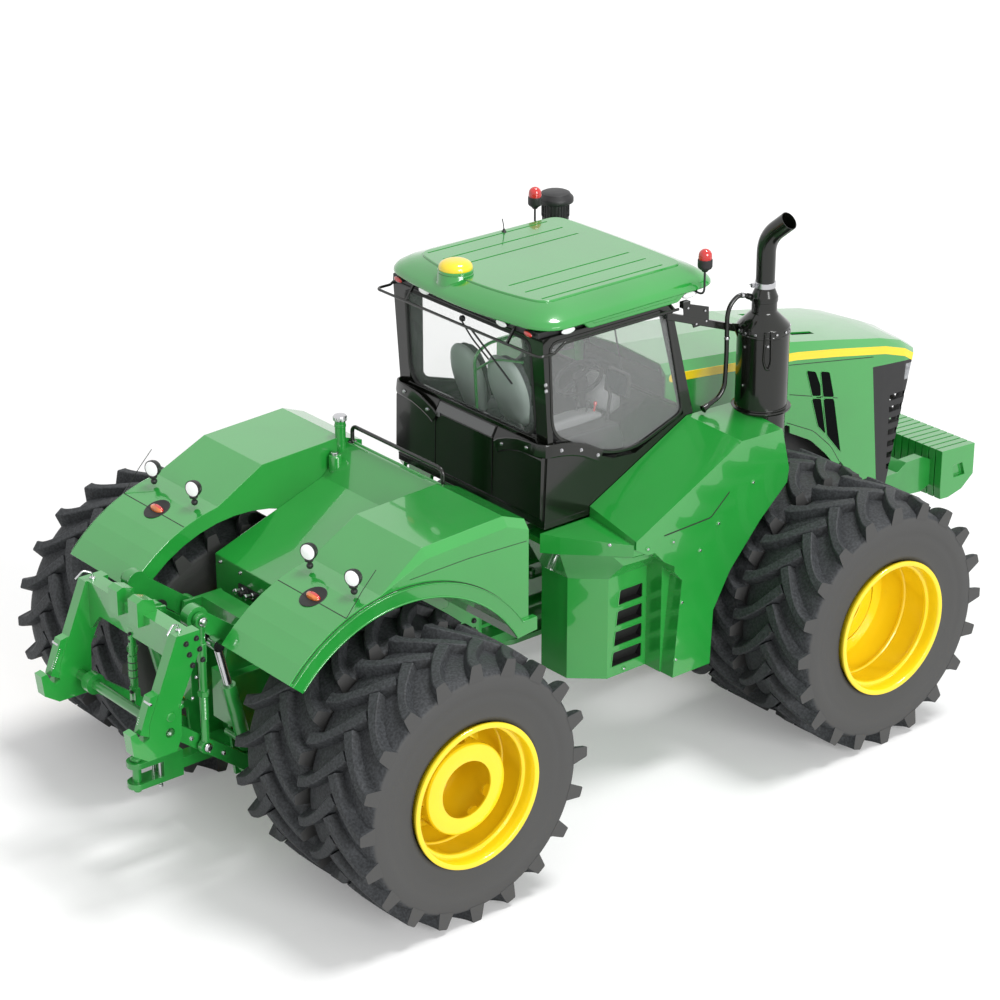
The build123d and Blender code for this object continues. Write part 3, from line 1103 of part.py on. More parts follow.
# ---------------------------------------------------------------- steering cylinders
def steering_cylinder(sign):
    """Barrel and rod of one steering cylinder, eye stacked above its lugs."""
    y = sign * STEER_Y
    head_x = STEER_FRONT_X - STEER_EYE_R - 15
    mouth_x = head_x - STEER_BARREL_L
    eye_z = (STEER_Z - STEER_EYE_T / 2, STEER_Z + STEER_EYE_T / 2)
    barrel = rod((head_x, y, STEER_Z), (mouth_x, y, STEER_Z), STEER_BARREL_R)
    barrel += post(STEER_FRONT_X, y, eye_z, STEER_EYE_R)
    barrel += box((head_x - 5, STEER_FRONT_X), (y - 25, y + 25), eye_z)
    barrel -= post(STEER_FRONT_X, y, (eye_z[0] - 1, eye_z[1] + 1), STEER_PIN_R + SHAFT_CLEAR)
    barrel -= rod((head_x - 40, y, STEER_Z), (mouth_x - 1, y, STEER_Z), STEER_ROD_R + SHAFT_CLEAR)
    bar = rod((mouth_x + STEER_ROD_IN, y, STEER_Z), (-STEER_REAR_X + 40, y, STEER_Z), STEER_ROD_R)
    bar += post(-STEER_REAR_X, y, eye_z, STEER_EYE_R)
    bar += post(-STEER_REAR_X, y, (eye_z[1], eye_z[1] + 12), STEER_PIN_R)
    return barrel, bar


# ---------------------------------------------------------------- three-point hitch
def top_front_pin():
    return (LOWER_PIN[0] + COUPLER_TOP_OFFSET[0], LOWER_PIN[1] + COUPLER_TOP_OFFSET[1])


def top_rear_pin():
    return (LOWER_BALL[0] + COUPLER_TOP_OFFSET[0], LOWER_BALL[1] + COUPLER_TOP_OFFSET[1])


def arm_vector():
    return ((LOWER_BALL[0] - LOWER_PIN[0]) * ARM_SHARE, (LOWER_BALL[1] - LOWER_PIN[1]) * ARM_SHARE)


def link_bar(start, end, y, half_h, eye_r):
    """Flat link between two pin centres given as (x, z), with round eyes."""
    dx, dz = end[0] - start[0], end[1] - start[1]
    length = hypot(dx, dz)
    nx, nz = -dz / length * half_h, dx / length * half_h
    web = side_prism([(start[0] + nx, start[1] + nz), (end[0] + nx, end[1] + nz), (end[0] - nx, end[1] - nz),
                      (start[0] - nx, start[1] - nz)], y)
    return web + cross_rod(start[0], y, start[1], eye_r) + cross_rod(end[0], y, end[1], eye_r)


def lower_links():
    """The two lower links with the shaft and ball pins at their ends, and the pins of the lift rods."""
    ax, az = arm_vector()
    meet = (LOWER_PIN[0] + ax, LOWER_PIN[1] + az)
    reach = COUPLER_IN_Y + 30
    body = cross_rod(LOWER_BALL[0], (-reach, reach), LOWER_BALL[1], LINK_PIN_R)
    for sign in (1, -1):
        y = sorted((sign * LINK_IN_Y, sign * (LINK_OUT_Y - 10)))
        body += link_bar(LOWER_PIN, LOWER_BALL, y, 55, 80)
        body -= cross_rod(LOWER_PIN[0], (y[0] - 1, y[1] + 1), LOWER_PIN[1], LINK_PIN_R + SHAFT_CLEAR)
        body += cross_rod(meet[0], sorted((sign * LINK_IN_Y, sign * (LINK_OUT_Y + 60))), meet[1], ROD_PIN_R)
    return body


def quick_coupler():
    """Coupler frame: side plates with hooks and latch housings, beam, centre hook and strut."""
    body = []
    bx, bz = LOWER_BALL
    beam_low, beam_high = COUPLER_BEAM_Z
    outline = [(105, 215), (95, -60), (50, -165), (-190, -165), (-310, -85), (-330, 80), (-280, 90), (-255, 30),
               (-215, -10), (-175, 10), (-165, 120), (-75, 330), (90, beam_high), (285, beam_high), (285, 580)]
    latch = [(-75, 330), (-145, 318), (-245, 60), (-175, 20)]
    for sign in (1, -1):
        y = sorted((sign * COUPLER_IN_Y, sign * COUPLER_OUT_Y))
        plate = side_prism([(bx + dx, bz + dz) for dx, dz in outline], y)
        plate -= cross_rod(bx, (y[0] - 1, y[1] + 1), bz, LINK_PIN_R + SHAFT_CLEAR)
        body.append(plate)
        body.append(side_prism([(bx + dx, bz + dz) for dx, dz in latch], (y[0] + 8, y[1] - 8)))
        # web under the beam's end
        body.append(cross_prism([(sign * COUPLER_IN_Y, bz + beam_low), (sign * (COUPLER_IN_Y - 140), bz + beam_low),
                                 (sign * COUPLER_IN_Y, bz + beam_low - 150)], (bx + 110, bx + 150)))
    body.append(box((bx + 110, bx + 240), (-COUPLER_OUT_Y, COUPLER_OUT_Y), (bz + beam_low, bz + beam_high)))
    tx, tz = top_rear_pin()
    for sign in (1, -1):
        y = sorted((sign * 45, sign * 75))
        lug = side_prism([(bx + 235, bz + 570), (tx - 30, tz - 45), (tx + 40, tz - 45), (tx + 50, tz + 30),
                          (bx + 235, bz + 700)], y)
        body.append(lug - cross_rod(tx, (y[0] - 1, y[1] + 1), tz, TOP_PIN_R + OPEN_PIN_CLEAR))
        # one cheek of the centre hook
        hook_y = sorted((sign * COUPLER_HOOK_Y[0], sign * COUPLER_HOOK_Y[1]))
        body.append(side_prism([(bx + 60, bz + beam_high - 90), (bx + 60, bz + beam_high + 100),
                                (bx + 110, bz + beam_high + 120), (bx + 200, bz + beam_high + 90),
                                (bx + 230, bz + beam_high - 10), (bx + 120, bz + beam_high - 90)], hook_y))
    # centre strut with its turnbuckle
    strut_x = bx + STRUT_X
    body.append(box((strut_x - 6, bx + 120), (-24, 24), (bz + 440, bz + beam_low + 60)))
    body.append(post(strut_x, 0, (bz - 20, bz + beam_low + 10), 22))
    body.append(post(strut_x, 0, (bz + 150, bz + 330), 34))
    body.append(box((strut_x - 14, strut_x + 30), (-38, 38), (bz - 75, bz + 70)))
    return fuse(body)


def top_link():
    """Top link, front eye on its pin and rear eye open between the coupler's lugs."""
    start, end = top_front_pin(), top_rear_pin()
    link = link_bar(start, end, (-35, 35), 30, 55)
    link -= cross_rod(start[0], (-40, 40), start[1], TOP_PIN_R + SHAFT_CLEAR)
    link += cross_rod(end[0], (-85, 85), end[1], TOP_PIN_R)
    return link


def lift_arms():
    """Lift arms either side of the hitch tower."""
    pivot = (LOWER_PIN[0], LOWER_PIN[1] + ARM_PIVOT_RISE)
    ax, az = arm_vector()
    tip = (pivot[0] + ax, pivot[1] + az)
    made = []
    for sign in (1, -1):
        y = sorted((sign * ARM_IN_Y, sign * (ARM_OUT_Y - 10)))
        arm = link_bar(pivot, tip, y, 70, 90)
        arm -= cross_rod(pivot[0], (y[0] - 1, y[1] + 1), pivot[1], ARM_PIN_R + SHAFT_CLEAR)
        arm += cross_rod(tip[0], sorted((sign * ARM_IN_Y, sign * (ARM_OUT_Y + 60))), tip[1], ROD_PIN_R)
        made.append(arm)
    return group(made)


def lift_rods():
    """Lift rods from the arms down to the lower links."""
    ax, az = arm_vector()
    top = (LOWER_PIN[0] + ax, LOWER_PIN[1] + ARM_PIVOT_RISE + az)
    bottom = (top[0], top[1] - ARM_PIVOT_RISE)
    made = []
    for sign in (1, -1):
        y_mid = sign * (ARM_OUT_Y + 25)
        y = sorted((y_mid - 22, y_mid + 22))
        bar = rod((top[0], y_mid, top[1] - 40), (bottom[0], y_mid, bottom[1] + 40), 30)
        bar += cross_rod(top[0], y, top[1], 55) + cross_rod(bottom[0], y, bottom[1], 55)
        bar -= cross_rod(top[0], (y[0] - 1, y[1] + 1), top[1], ROD_PIN_R + SHAFT_CLEAR)
        bar -= cross_rod(bottom[0], (y[0] - 1, y[1] + 1), bottom[1], ROD_PIN_R + OPEN_PIN_CLEAR)
        made.append(bar)
    return group(made)


def lift_cylinders():
    """Barrels and rods of the two lift cylinders."""
    bx, bz = LIFT_BASE
    tip = (LOWER_PIN[0] + LIFT_ARM_PIN[0], LOWER_PIN[1] + ARM_PIVOT_RISE + LIFT_ARM_PIN[1])
    dx, dz = tip[0] - bx, tip[1] - bz
    length = hypot(dx, dz)
    ux, uz = dx / length, dz / length
    barrels = []
    bars = []
    for sign in (1, -1):
        y_mid = sign * LIFT_MID_Y
        y = (y_mid - LIFT_EYE_W / 2, y_mid + LIFT_EYE_W / 2)
        y_tip = sorted((sign * (ARM_OUT_Y - 3), sign * (LIFT_MID_Y + 40)))
        barrel = rod((bx + 60 * ux, y_mid, bz + 60 * uz),
                     (bx + LIFT_BARREL_L * ux, y_mid, bz + LIFT_BARREL_L * uz), LIFT_BARREL_R)
        barrel += cross_rod(bx, y, bz, 65)
        barrel -= cross_rod(bx, (y[0] - 1, y[1] + 1), bz, LIFT_PIN_R + SHAFT_CLEAR)
        barrel -= rod((bx + LIFT_BORE_START * ux, y_mid, bz + LIFT_BORE_START * uz),
                      (bx + (LIFT_BARREL_L + 5) * ux, y_mid, bz + (LIFT_BARREL_L + 5) * uz), LIFT_ROD_R + SHAFT_CLEAR)
        barrels.append(barrel)
        bar = rod((bx + LIFT_ROD_START * ux, y_mid, bz + LIFT_ROD_START * uz),
                  (tip[0] - 20 * ux, y_mid, tip[1] - 20 * uz), LIFT_ROD_R)
        bar += cross_rod(tip[0], y_tip, tip[1], 50)
        bars.append(bar)
    return group(barrels), group(bars)


def build_all():
    """Every node of the tractor by name."""
    nodes = {}
    nodes.update(wheel_sets())
    nodes["front_axle"] = axle(AXLE_X)
    nodes["rear_axle"] = axle(-AXLE_X)
    nodes["front_frame"] = front_frame()
    nodes["engine"] = engine()
    nodes["radiator"] = radiator()
    nodes["firewall"] = firewall()
    nodes["front_weights"] = front_weights()
    nodes["hood"], nodes["grille"], nodes["headlamps"] = hood_parts()
    nodes["hood_stripe"] = hood_stripe()
    nodes["cab_floor"] = cab_floor()
    nodes["cab_frame"], nodes["cab_lower_panels"] = cab_parts()
    nodes["cab_glass"] = cab_glass()
    nodes["cab_door"], nodes["door_glass"] = door_parts()
    nodes["cab_roof"] = cab_roof()
    nodes["roof_rim"] = roof_rim()
    nodes["roof_lamps"] = roof_lamps()
    nodes["seats"] = seats()
    nodes["steering_column"] = steering_column()
    nodes["side_console"] = side_console()
    nodes["right_tank"] = right_tank()
    nodes["left_platform"] = left_platform()
    nodes["exhaust_stack"] = exhaust_stack()
    nodes["air_precleaner"] = air_precleaner()
    nodes["roof_rails"] = roof_rails()
    nodes["stack_bracket"] = stack_bracket()
    nodes["beacons"] = beacons()
    nodes["gps_receiver"] = gps_receiver()
    nodes["rear_frame"] = rear_frame()
    nodes["rear_fender_left"] = fender(1)
    nodes["rear_fender_right"] = fender(-1)
    nodes["fuel_tank"] = fuel_tank()
    nodes["deck_rail"] = deck_rail()
    nodes["fuel_filler"] = fuel_filler()
    nodes["fender_lamps"] = fender_lamps()
    nodes["marker_lamps"] = marker_lamps()
    nodes["drawbar"] = drawbar()
    for side, sign in (("left", 1), ("right", -1)):
        nodes[f"steering_barrel_{side}"], nodes[f"steering_rod_{side}"] = steering_cylinder(sign)
    nodes["lower_links"] = lower_links()
    nodes["quick_coupler"] = quick_coupler()
    nodes["top_link"] = top_link()
    nodes["lift_arms"] = lift_arms()
    nodes["lift_rods"] = lift_rods()
    nodes["lift_barrels"], nodes["lift_pistons"] = lift_cylinders()
    return nodes


if __name__ == "__main__":
    os.makedirs("parts", exist_ok=True)
    for name, shape in build_all().items():
        moved = Pos(-ORIGIN_X, 0, 0) * shape
        if len(moved.solids()) > 1:
            moved = group(moved)
        export_step(moved, f"parts/{name}.step")
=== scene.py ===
import json
import math

import bmesh
import bpy
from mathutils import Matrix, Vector


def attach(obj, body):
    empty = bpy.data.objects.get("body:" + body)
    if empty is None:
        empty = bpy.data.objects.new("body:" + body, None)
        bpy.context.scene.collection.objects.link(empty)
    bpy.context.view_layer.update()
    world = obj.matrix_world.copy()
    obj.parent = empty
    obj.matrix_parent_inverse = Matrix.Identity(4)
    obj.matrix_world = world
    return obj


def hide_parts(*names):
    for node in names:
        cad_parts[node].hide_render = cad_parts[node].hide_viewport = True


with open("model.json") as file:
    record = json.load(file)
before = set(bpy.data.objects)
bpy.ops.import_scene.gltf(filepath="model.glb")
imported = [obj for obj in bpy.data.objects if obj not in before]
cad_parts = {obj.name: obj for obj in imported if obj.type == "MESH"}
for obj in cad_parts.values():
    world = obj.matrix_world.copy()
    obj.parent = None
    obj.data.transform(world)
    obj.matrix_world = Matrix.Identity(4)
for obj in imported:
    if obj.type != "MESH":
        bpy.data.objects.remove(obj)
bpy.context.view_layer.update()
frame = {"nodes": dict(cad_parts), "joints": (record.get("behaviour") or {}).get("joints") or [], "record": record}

# Looks of an articulated farm tractor on dual wheels.
# Helpers and tables are in millimetres about the floor point under the articulation pin, +X forward, +Y left,
# +Z up; at() turns a point into metres in the row frame.
NODES = frame["nodes"]
JOINTS = {joint["name"]: joint for joint in frame["joints"]}
PIVOT_X = JOINTS["articulation"]["pos_m"][0]
MM = 0.001
AXLE_X = 2104.5
AXLE_Z = 1029.22
SIDES = ((1, "left"), (-1, "right"))
SIGNS = (1, -1)
UP = (0, 0, 1)


def at(x, y, z):
    """Row-frame point in metres from millimetres about the articulation axis."""
    return Vector((x * MM + PIVOT_X, y * MM, z * MM))


def spots(*rows):
    """Row-frame points of several rows in millimetres."""
    return [at(*row) for row in rows]


def mm_rows(rows):
    """Rows of millimetres as metres."""
    return [(a * MM, b * MM) for a, b in rows]


def turns(count):
    """Angles of even steps round a circle."""
    return [2 * math.pi * step / count for step in range(count)]


def around(centre, side, up, radius, count):
    """Ring of points round a centre, in the plane of two unit vectors."""
    return [centre + (side * math.cos(turn) + up * math.sin(turn)) * radius for turn in turns(count)]


def heading(path, index):
    """Direction of a path at one of its points."""
    return (path[min(index + 1, len(path) - 1)] - path[max(index - 1, 0)]).normalized()


def arc_between(start, here, end, steps):
    """Points of a curve from start to end that leans towards a corner."""
    shares = [step / steps for step in range(steps + 1)]
    return [start * (1 - t) ** 2 + here * 2 * t * (1 - t) + end * t * t for t in shares]


# ---------------------------------------------------------------- materials
class Look:
    """A node material with one principled shader, built step by step."""

    def __init__(self, name, color, roughness, metallic=0.0, coat=0.0, specular=0.5):
        self.material = bpy.data.materials.new(name)
        self.material.use_nodes = True
        self.tree = self.material.node_tree
        self.shader = self.tree.nodes["Principled BSDF"]
        self.color = color
        self.put("Base Color", (*color, 1.0))
        self.put("Roughness", roughness)
        self.put("Metallic", metallic)
        self.put("Coat Weight", coat)
        self.put("Coat Roughness", 0.03)
        self.put("Coat IOR", 1.62)
        self.put("Specular IOR Level", specular)
        self.heights = []

    def put(self, socket, value):
        self.shader.inputs[socket].default_value = value

    def node(self, kind, **values):
        made = self.tree.nodes.new(kind)
        for key, value in values.items():
            setattr(made, key, value)
        return made

    def link(self, out_socket, in_socket):
        """Joins two sockets of the material."""
        self.tree.links.new(out_socket, in_socket)

    def noise(self, scale, detail=3.0):
        """Noise over the object's own coordinates."""
        coords = self.node("ShaderNodeTexCoord")
        made = self.node("ShaderNodeTexNoise")
        made.inputs["Scale"].default_value = scale
        made.inputs["Detail"].default_value = detail
        self.link(coords.outputs["Object"], made.inputs["Vector"])
        return made.outputs["Fac"]

    def ramp(self, factor, low, high):
        """The factor stretched from low..high onto 0..1."""
        made = self.node("ShaderNodeMapRange")
        made.inputs["From Min"].default_value = low
        made.inputs["From Max"].default_value = high
        self.link(factor, made.inputs["Value"])
        return made.outputs["Result"]

    def mix(self, factor, first, second):
        """Blend of two colours, each a tuple or a socket."""
        made = self.node("ShaderNodeMix", data_type="RGBA")
        self.link(factor, made.inputs[0])
        for index, value in ((6, first), (7, second)):
            if isinstance(value, tuple):
                made.inputs[index].default_value = (*value, 1.0)
            else:
                self.link(value, made.inputs[index])
        return made.outputs[2]

    def vary(self, amount, scale):
        """Slow shade changes over the base colour."""
        dark = tuple(value * (1 - amount) for value in self.color)
        light = tuple(min(1.0, value * (1 + amount)) for value in self.color)
        self.link(self.mix(self.ramp(self.noise(scale), 0.35, 0.65), dark, light),
                  self.shader.inputs["Base Color"])
        return self

    def gloss(self, low, high, scale):
        """Roughness that wanders between two values."""
        made = self.node("ShaderNodeMapRange")
        made.inputs["To Min"].default_value = low
        made.inputs["To Max"].default_value = high
        self.link(self.noise(scale), made.inputs["Value"])
        self.link(made.outputs["Result"], self.shader.inputs["Roughness"])
        return self

    def bump(self, scale, strength, distance=0.001, detail=3.0):
        """Small relief of noise, on top of any relief given before."""
        made = self.node("ShaderNodeBump")
        made.inputs["Strength"].default_value = strength
        made.inputs["Distance"].default_value = distance
        self.link(self.noise(scale, detail), made.inputs["Height"])
        if self.heights:
            self.link(self.heights[-1], made.inputs["Normal"])
        self.heights.append(made.outputs["Normal"])
        self.link(made.outputs["Normal"], self.shader.inputs["Normal"])
        return self


GREEN = (0.020, 0.315, 0.043)
FRAME_GREEN = (0.017, 0.262, 0.037)
YELLOW = (0.97, 0.72, 0.012)
LOOKS = {
    "green": Look("green paint", GREEN, 0.22, coat=1.0).vary(0.05, 1.3).bump(160.0, 0.03),
    "frame_green": Look("frame paint", FRAME_GREEN, 0.32, coat=0.8).vary(0.10, 4.0).bump(240.0, 0.12),
    "yellow": Look("yellow paint", YELLOW, 0.24, coat=0.5).vary(0.03, 2.0).bump(180.0, 0.03),
    "black_paint": Look("black paint", (0.006, 0.007, 0.005), 0.14, coat=0.2)
                   .gloss(0.10, 0.20, 5.0).bump(120.0, 0.02),
    "black_plastic": Look("black plastic", (0.014, 0.014, 0.015), 0.46)
                     .gloss(0.38, 0.55, 9.0).bump(900.0, 0.25),
    "tyre": Look("tyre rubber", (0.040, 0.041, 0.043), 0.62, specular=0.35),
    "seat_fabric": Look("seat fabric", (0.060, 0.064, 0.070), 0.85).vary(0.2, 30.0).bump(1400.0, 0.5),
    "red_lens": Look("red lens", (0.62, 0.012, 0.010), 0.10, coat=0.8).vary(0.08, 8.0),
    "lamp_chrome": Look("lamp chrome", (0.80, 0.81, 0.83), 0.10, metallic=1.0).gloss(0.06, 0.14, 12.0),
    "receiver_yellow": Look("receiver yellow", YELLOW, 0.2, coat=0.6).bump(300.0, 0.05),
    "steel": Look("rod steel", (0.62, 0.62, 0.64), 0.18, metallic=1.0).gloss(0.12, 0.24, 30.0),
    "iron": Look("cast iron", (0.045, 0.045, 0.047), 0.6, metallic=0.3).bump(200.0, 0.4),
    "glass": Look("cab glass", (0.93, 0.97, 0.95), 0.0),
}
glass = LOOKS["glass"]
glass.put("Transmission Weight", 1.0)
glass.put("IOR", 1.04)
glass.put("Alpha", 0.30)

# tread a dark speckled grey, sidewall a lighter grey, told apart by the way the surface faces; the sidewall's
# extra lightness is painted light, the side light falling on the sideways faces
rubber = LOOKS["tyre"]
facing = rubber.node("ShaderNodeTexCoord")
split_normal = rubber.node("ShaderNodeSeparateXYZ")
sideways_light_mask = rubber.node("ShaderNodeMath", operation="ABSOLUTE")
rubber.link(facing.outputs["Normal"], split_normal.inputs[0])
rubber.link(split_normal.outputs["Y"], sideways_light_mask.inputs[0])
speckle = rubber.mix(rubber.ramp(rubber.noise(55.0, 6.0), 0.38, 0.66), (0.022, 0.024, 0.026),
                     (0.054, 0.058, 0.063))
# faces that look sideways get the lighter grey: painted light on the sidewalls
rubber.link(rubber.mix(rubber.ramp(sideways_light_mask.outputs[0], 0.72, 0.95), speckle, (0.068, 0.068, 0.067)),
            rubber.shader.inputs["Base Color"])
rubber.bump(70.0, 0.35, 0.002, 6.0).bump(420.0, 0.2)

M = {name: look.material for name, look in LOOKS.items()}
for part in frame["record"]["subparts"]:
    skin = NODES[part["node"]].data.materials
    skin.clear()
    skin.append(M[part["material_slot"]])


# ---------------------------------------------------------------- mesh helpers
POINT_R = 1e-5               # radius of a ring that closes to a point
WELD_GAP = 1e-6


class Shape:
    """Vertices and faces of one piece, in metres in the row frame."""

    def __init__(self):
        self.points = []
        self.faces = []
        self.skins = []

    def add(self, points, faces, skin=0):
        """Adds points, and faces that count from the first of them."""
        base = len(self.points)
        self.points += [Vector(point) for point in points]
        self.faces += [tuple(base + index for index in face) for face in faces]
        self.skins += [skin] * len(faces)

    def loft(self, rings, skin=0, caps=True):
        """Skin over closed rings of the same number of points."""
        count = len(rings[0])
        faces = []
        for row in range(len(rings) - 1):
            for column in range(count):
                after = (column + 1) % count
                faces.append((row * count + column, row * count + after, (row + 1) * count + after,
                              (row + 1) * count + column))
        if caps:
            faces.append(tuple(reversed(range(count))))
            faces.append(tuple(range((len(rings) - 1) * count, len(rings) * count)))
        self.add([point for ring in rings for point in ring], faces, skin)

    def turned(self, profile, origin, axis, segments=48, skin=0, closed=False, caps=True):
        """Turned form: profile of (distance along the axis, radius) in metres about origin."""
        axis = Vector(axis).normalized()
        side = axis.orthogonal().normalized()
        up = axis.cross(side)
        rows = list(profile) + ([profile[0]] if closed else [])
        rings = [around(origin + axis * along, side, up, max(radius, POINT_R), segments)
                 for along, radius in rows]
        self.loft(rings, skin, caps=caps and not closed)

    def tube(self, path, radius, segments=12, skin=0):
        """Round bar along a path of points."""
        frames = []
        side = None
        for index, point in enumerate(path):
            ahead = heading(path, index)
            if side is None:
                side = ahead.orthogonal().normalized()
            side = (side - ahead * side.dot(ahead)).normalized()
            frames.append(around(point, side, ahead.cross(side), radius, segments))
        self.loft(frames, skin)

    def slab(self, outline, thickness, skin=0):
        """Flat plate on a closed outline of points, given thickness as a vector."""
        count = len(outline)
        faces = [tuple(reversed(range(count))), tuple(range(count, 2 * count))]
        for index in range(count):
            after = (index + 1) % count
            faces.append((index, after, count + after, count + index))
        self.add(list(outline) + [point + thickness for point in outline], faces, skin)

    def block(self, low, high, skin=0, chamfer=0.0):
        """Box between two corners given in metres, its upright edges cut by a chamfer."""
        c = chamfer
        plan = [(low.x + c, low.y), (high.x - c, low.y), (high.x, low.y + c), (high.x, high.y - c),
                (high.x - c, high.y), (low.x + c, high.y), (low.x, high.y - c), (low.x, low.y + c)]
        self.slab([Vector((x, y, low.z)) for x, y in plan], Vector((0, 0, high.z - low.z)), skin)

    def bolt(self, foot, axis, across, skin=0, washer=True):
        """Hexagon head with a washer and a rounded top, standing on foot."""
        radius = across / 2
        if washer:
            self.turned([(0, radius * 1.5), (radius * 0.22, radius * 1.45)], foot, axis, 20, skin)
        base = radius * 0.2
        self.turned([(base, radius * 1.1), (radius * 1.05, radius * 1.1), (radius * 1.25, radius * 0.85)],
                    foot, axis, 6, skin)

    def ball(self, centre, radius, segments=20, skin=0):
        """Ball of turned rows."""
        rows = segments // 2
        profile = [(-radius * math.cos(math.pi * row / rows), radius * math.sin(math.pi * row / rows))
                   for row in range(rows + 1)]
        self.turned(profile, centre, UP, segments, skin)


def curve_points(corners, bend, steps=6):
    """Path through corners with each one rounded by an arc of about the bend radius, all in metres."""
    path = [corners[0]]
    for before, here, after in zip(corners, corners[1:], corners[2:]):
        back, ahead = before - here, after - here
        reach = min(bend, back.length * 0.48, ahead.length * 0.48)
        path += arc_between(here + back.normalized() * reach, here, here + ahead.normalized() * reach, steps)
    path.append(corners[-1])
    return path


def piece(name, shape, skins, body, smooth=35.0, bevel=0.0, replaces=()):
    """Makes the object of one shape, with its materials, its body and the CAD nodes that it stands for."""
    mesh = bpy.data.meshes.new(name)
    mesh.from_pydata([tuple(point) for point in shape.points], [], shape.faces)
    skins = [skins] if not isinstance(skins, (list, tuple)) else skins
    for skin in skins:
        mesh.materials.append(M[skin] if isinstance(skin, str) else skin)
    for polygon, skin in zip(mesh.polygons, shape.skins):
        polygon.material_index = skin
    work = bmesh.new()
    work.from_mesh(mesh)
    bmesh.ops.remove_doubles(work, verts=work.verts, dist=WELD_GAP)
    bmesh.ops.recalc_face_normals(work, faces=work.faces)
    work.to_mesh(mesh)
    work.free()
    mesh.polygons.foreach_set("use_smooth", [True] * len(mesh.polygons))
    mesh.set_sharp_from_angle(angle=math.radians(smooth))
    obj = bpy.data.objects.new(name, mesh)
    bpy.context.scene.collection.objects.link(obj)
    if bevel:
        round_edges(obj, bevel, 2)
    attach(obj, body)
    if replaces:
        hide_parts(*replaces)
    return obj


def round_edges(obj, width, segments=2, angle=28.0):
    """Bevel on the hard edges, with even shading over the flats."""
    bevel = obj.modifiers.new("bevel", "BEVEL")
    bevel.width = width
    bevel.segments = segments
    bevel.limit_method = "ANGLE"
    bevel.angle_limit = math.radians(angle)
    bevel.harden_normals = False
    obj.modifiers.new("even", "WEIGHTED_NORMAL").keep_sharp = True


def soften(obj, width, segments=2, angle=25.0):
    """Rounded edges on a CAD node."""
    weld = obj.modifiers.new("weld", "WELD")
    weld.merge_threshold = 0.00005
    flat = obj.modifiers.new("flat", "DECIMATE")
    flat.decimate_type = "DISSOLVE"
    flat.angle_limit = math.radians(1.0)
    round_edges(obj, width, segments, angle)


# ---------------------------------------------------------------- tyres
TYRE_HALF = 0.370
TYRE_CENTRES = (1110.0, 1870.0)
LUG_COUNT = 20
LUG_STEPS = 11
LUG_TIP_R = 1.030
LUG_REACH = 0.400            # from the sidewall to just past the tyre's centre
LUG_TURN = 19.4              # degrees from the outer end of a lug to its inner end
# across the tyre from the centre to the bead: offset and radius
CARCASS = ((0.0, 0.962), (0.12, 0.960), (0.24, 0.952), (0.315, 0.940), (0.348, 0.926), (0.3635, 0.912),
           (0.3690, 0.895), (0.3690, 0.835), (0.3690, 0.800), (0.3660, 0.792), (0.3655, 0.748),
           (0.3625, 0.700), (0.3600, 0.690), (0.3585, 0.640), (0.3545, 0.606), (0.3560, 0.598),
           (0.3560, 0.586), (0.3520, 0.578), (0.3480, 0.566), (0.3380, 0.556), (0.3200, 0.541))


def lug_section(u):
    """Half widths of a lug at its tip and foot and the foot's radius, at a place u along it."""
    tip = 0.040 - 0.010 * math.sin(math.pi * min(1.0, u * 1.25)) + 0.002 * u
    foot = tip + 0.034 - 0.018 * u
    return tip, foot, 0.900 + 0.050 * min(1.0, u * 2.2)


def lug_place(u):
    """Distance round the tyre and across it, at a place u along a lug."""
    return math.radians(LUG_TURN) * u ** 1.55, TYRE_HALF - LUG_REACH * u


def lug_ring(u, start, half, mirror):
    """Section of one lug square to its own run."""
    s0, y0 = lug_place(max(u - 0.01, 0.0))
    s1, y1 = lug_place(u + 0.01)
    ahead = Vector((s1 - s0, y1 - y0)).normalized()
    across = Vector((-ahead.y, ahead.x))
    if u < 0.12:
        across = across.lerp(Vector((1, 0)), 1 - u / 0.12).normalized()
    if across.x < 0:
        across = -across
    s, y = lug_place(u)
    tip, foot, foot_r = lug_section(u)
    rows = ((-foot, foot_r), (-tip - 0.004, LUG_TIP_R - 0.020), (-tip, LUG_TIP_R - 0.006),
            (-tip + 0.008, LUG_TIP_R), (tip - 0.008, LUG_TIP_R), (tip, LUG_TIP_R - 0.006),
            (tip + 0.004, LUG_TIP_R - 0.020), (foot, foot_r))
    ring = []
    for offset, radius in rows:
        turn = math.radians(start) + s + across.x * offset
        place = min(y + across.y * offset, TYRE_HALF)
        ring.append(Vector((-radius * math.sin(turn), half * mirror * place, -radius * math.cos(turn))))
    return ring


def tyre_shape(shape, centre, mirror):
    """Carcass and the two rows of lugs of one tyre."""
    profile = [(-y, r) for y, r in reversed(CARCASS)] + [(y, r) for y, r in CARCASS[1:]]
    shape.turned(profile, centre, (0, 1, 0), 120, caps=False)
    for half, first in ((1, 0.0), (-1, 180.0 / LUG_COUNT)):
        for index in range(LUG_COUNT):
            start = first + index * 360.0 / LUG_COUNT
            rings = [[centre + point for point in lug_ring(step / LUG_STEPS, start, half, mirror)]
                     for step in range(LUG_STEPS + 1)]
            shape.loft(rings)


def tyres():
    """Tyres with lugs, shoulders and bead."""
    for end, x in (("front", AXLE_X), ("rear", -AXLE_X)):
        for sign, side in SIDES:
            shape = Shape()
            for y in TYRE_CENTRES:
                tyre_shape(shape, at(x, sign * y, AXLE_Z), sign)
            piece(f"tread_{end}_{side}", shape, "tyre", f"wheels_{end}_{side}", 32.0,
                  replaces=[f"tyres_{end}_{side}"])


tyres()


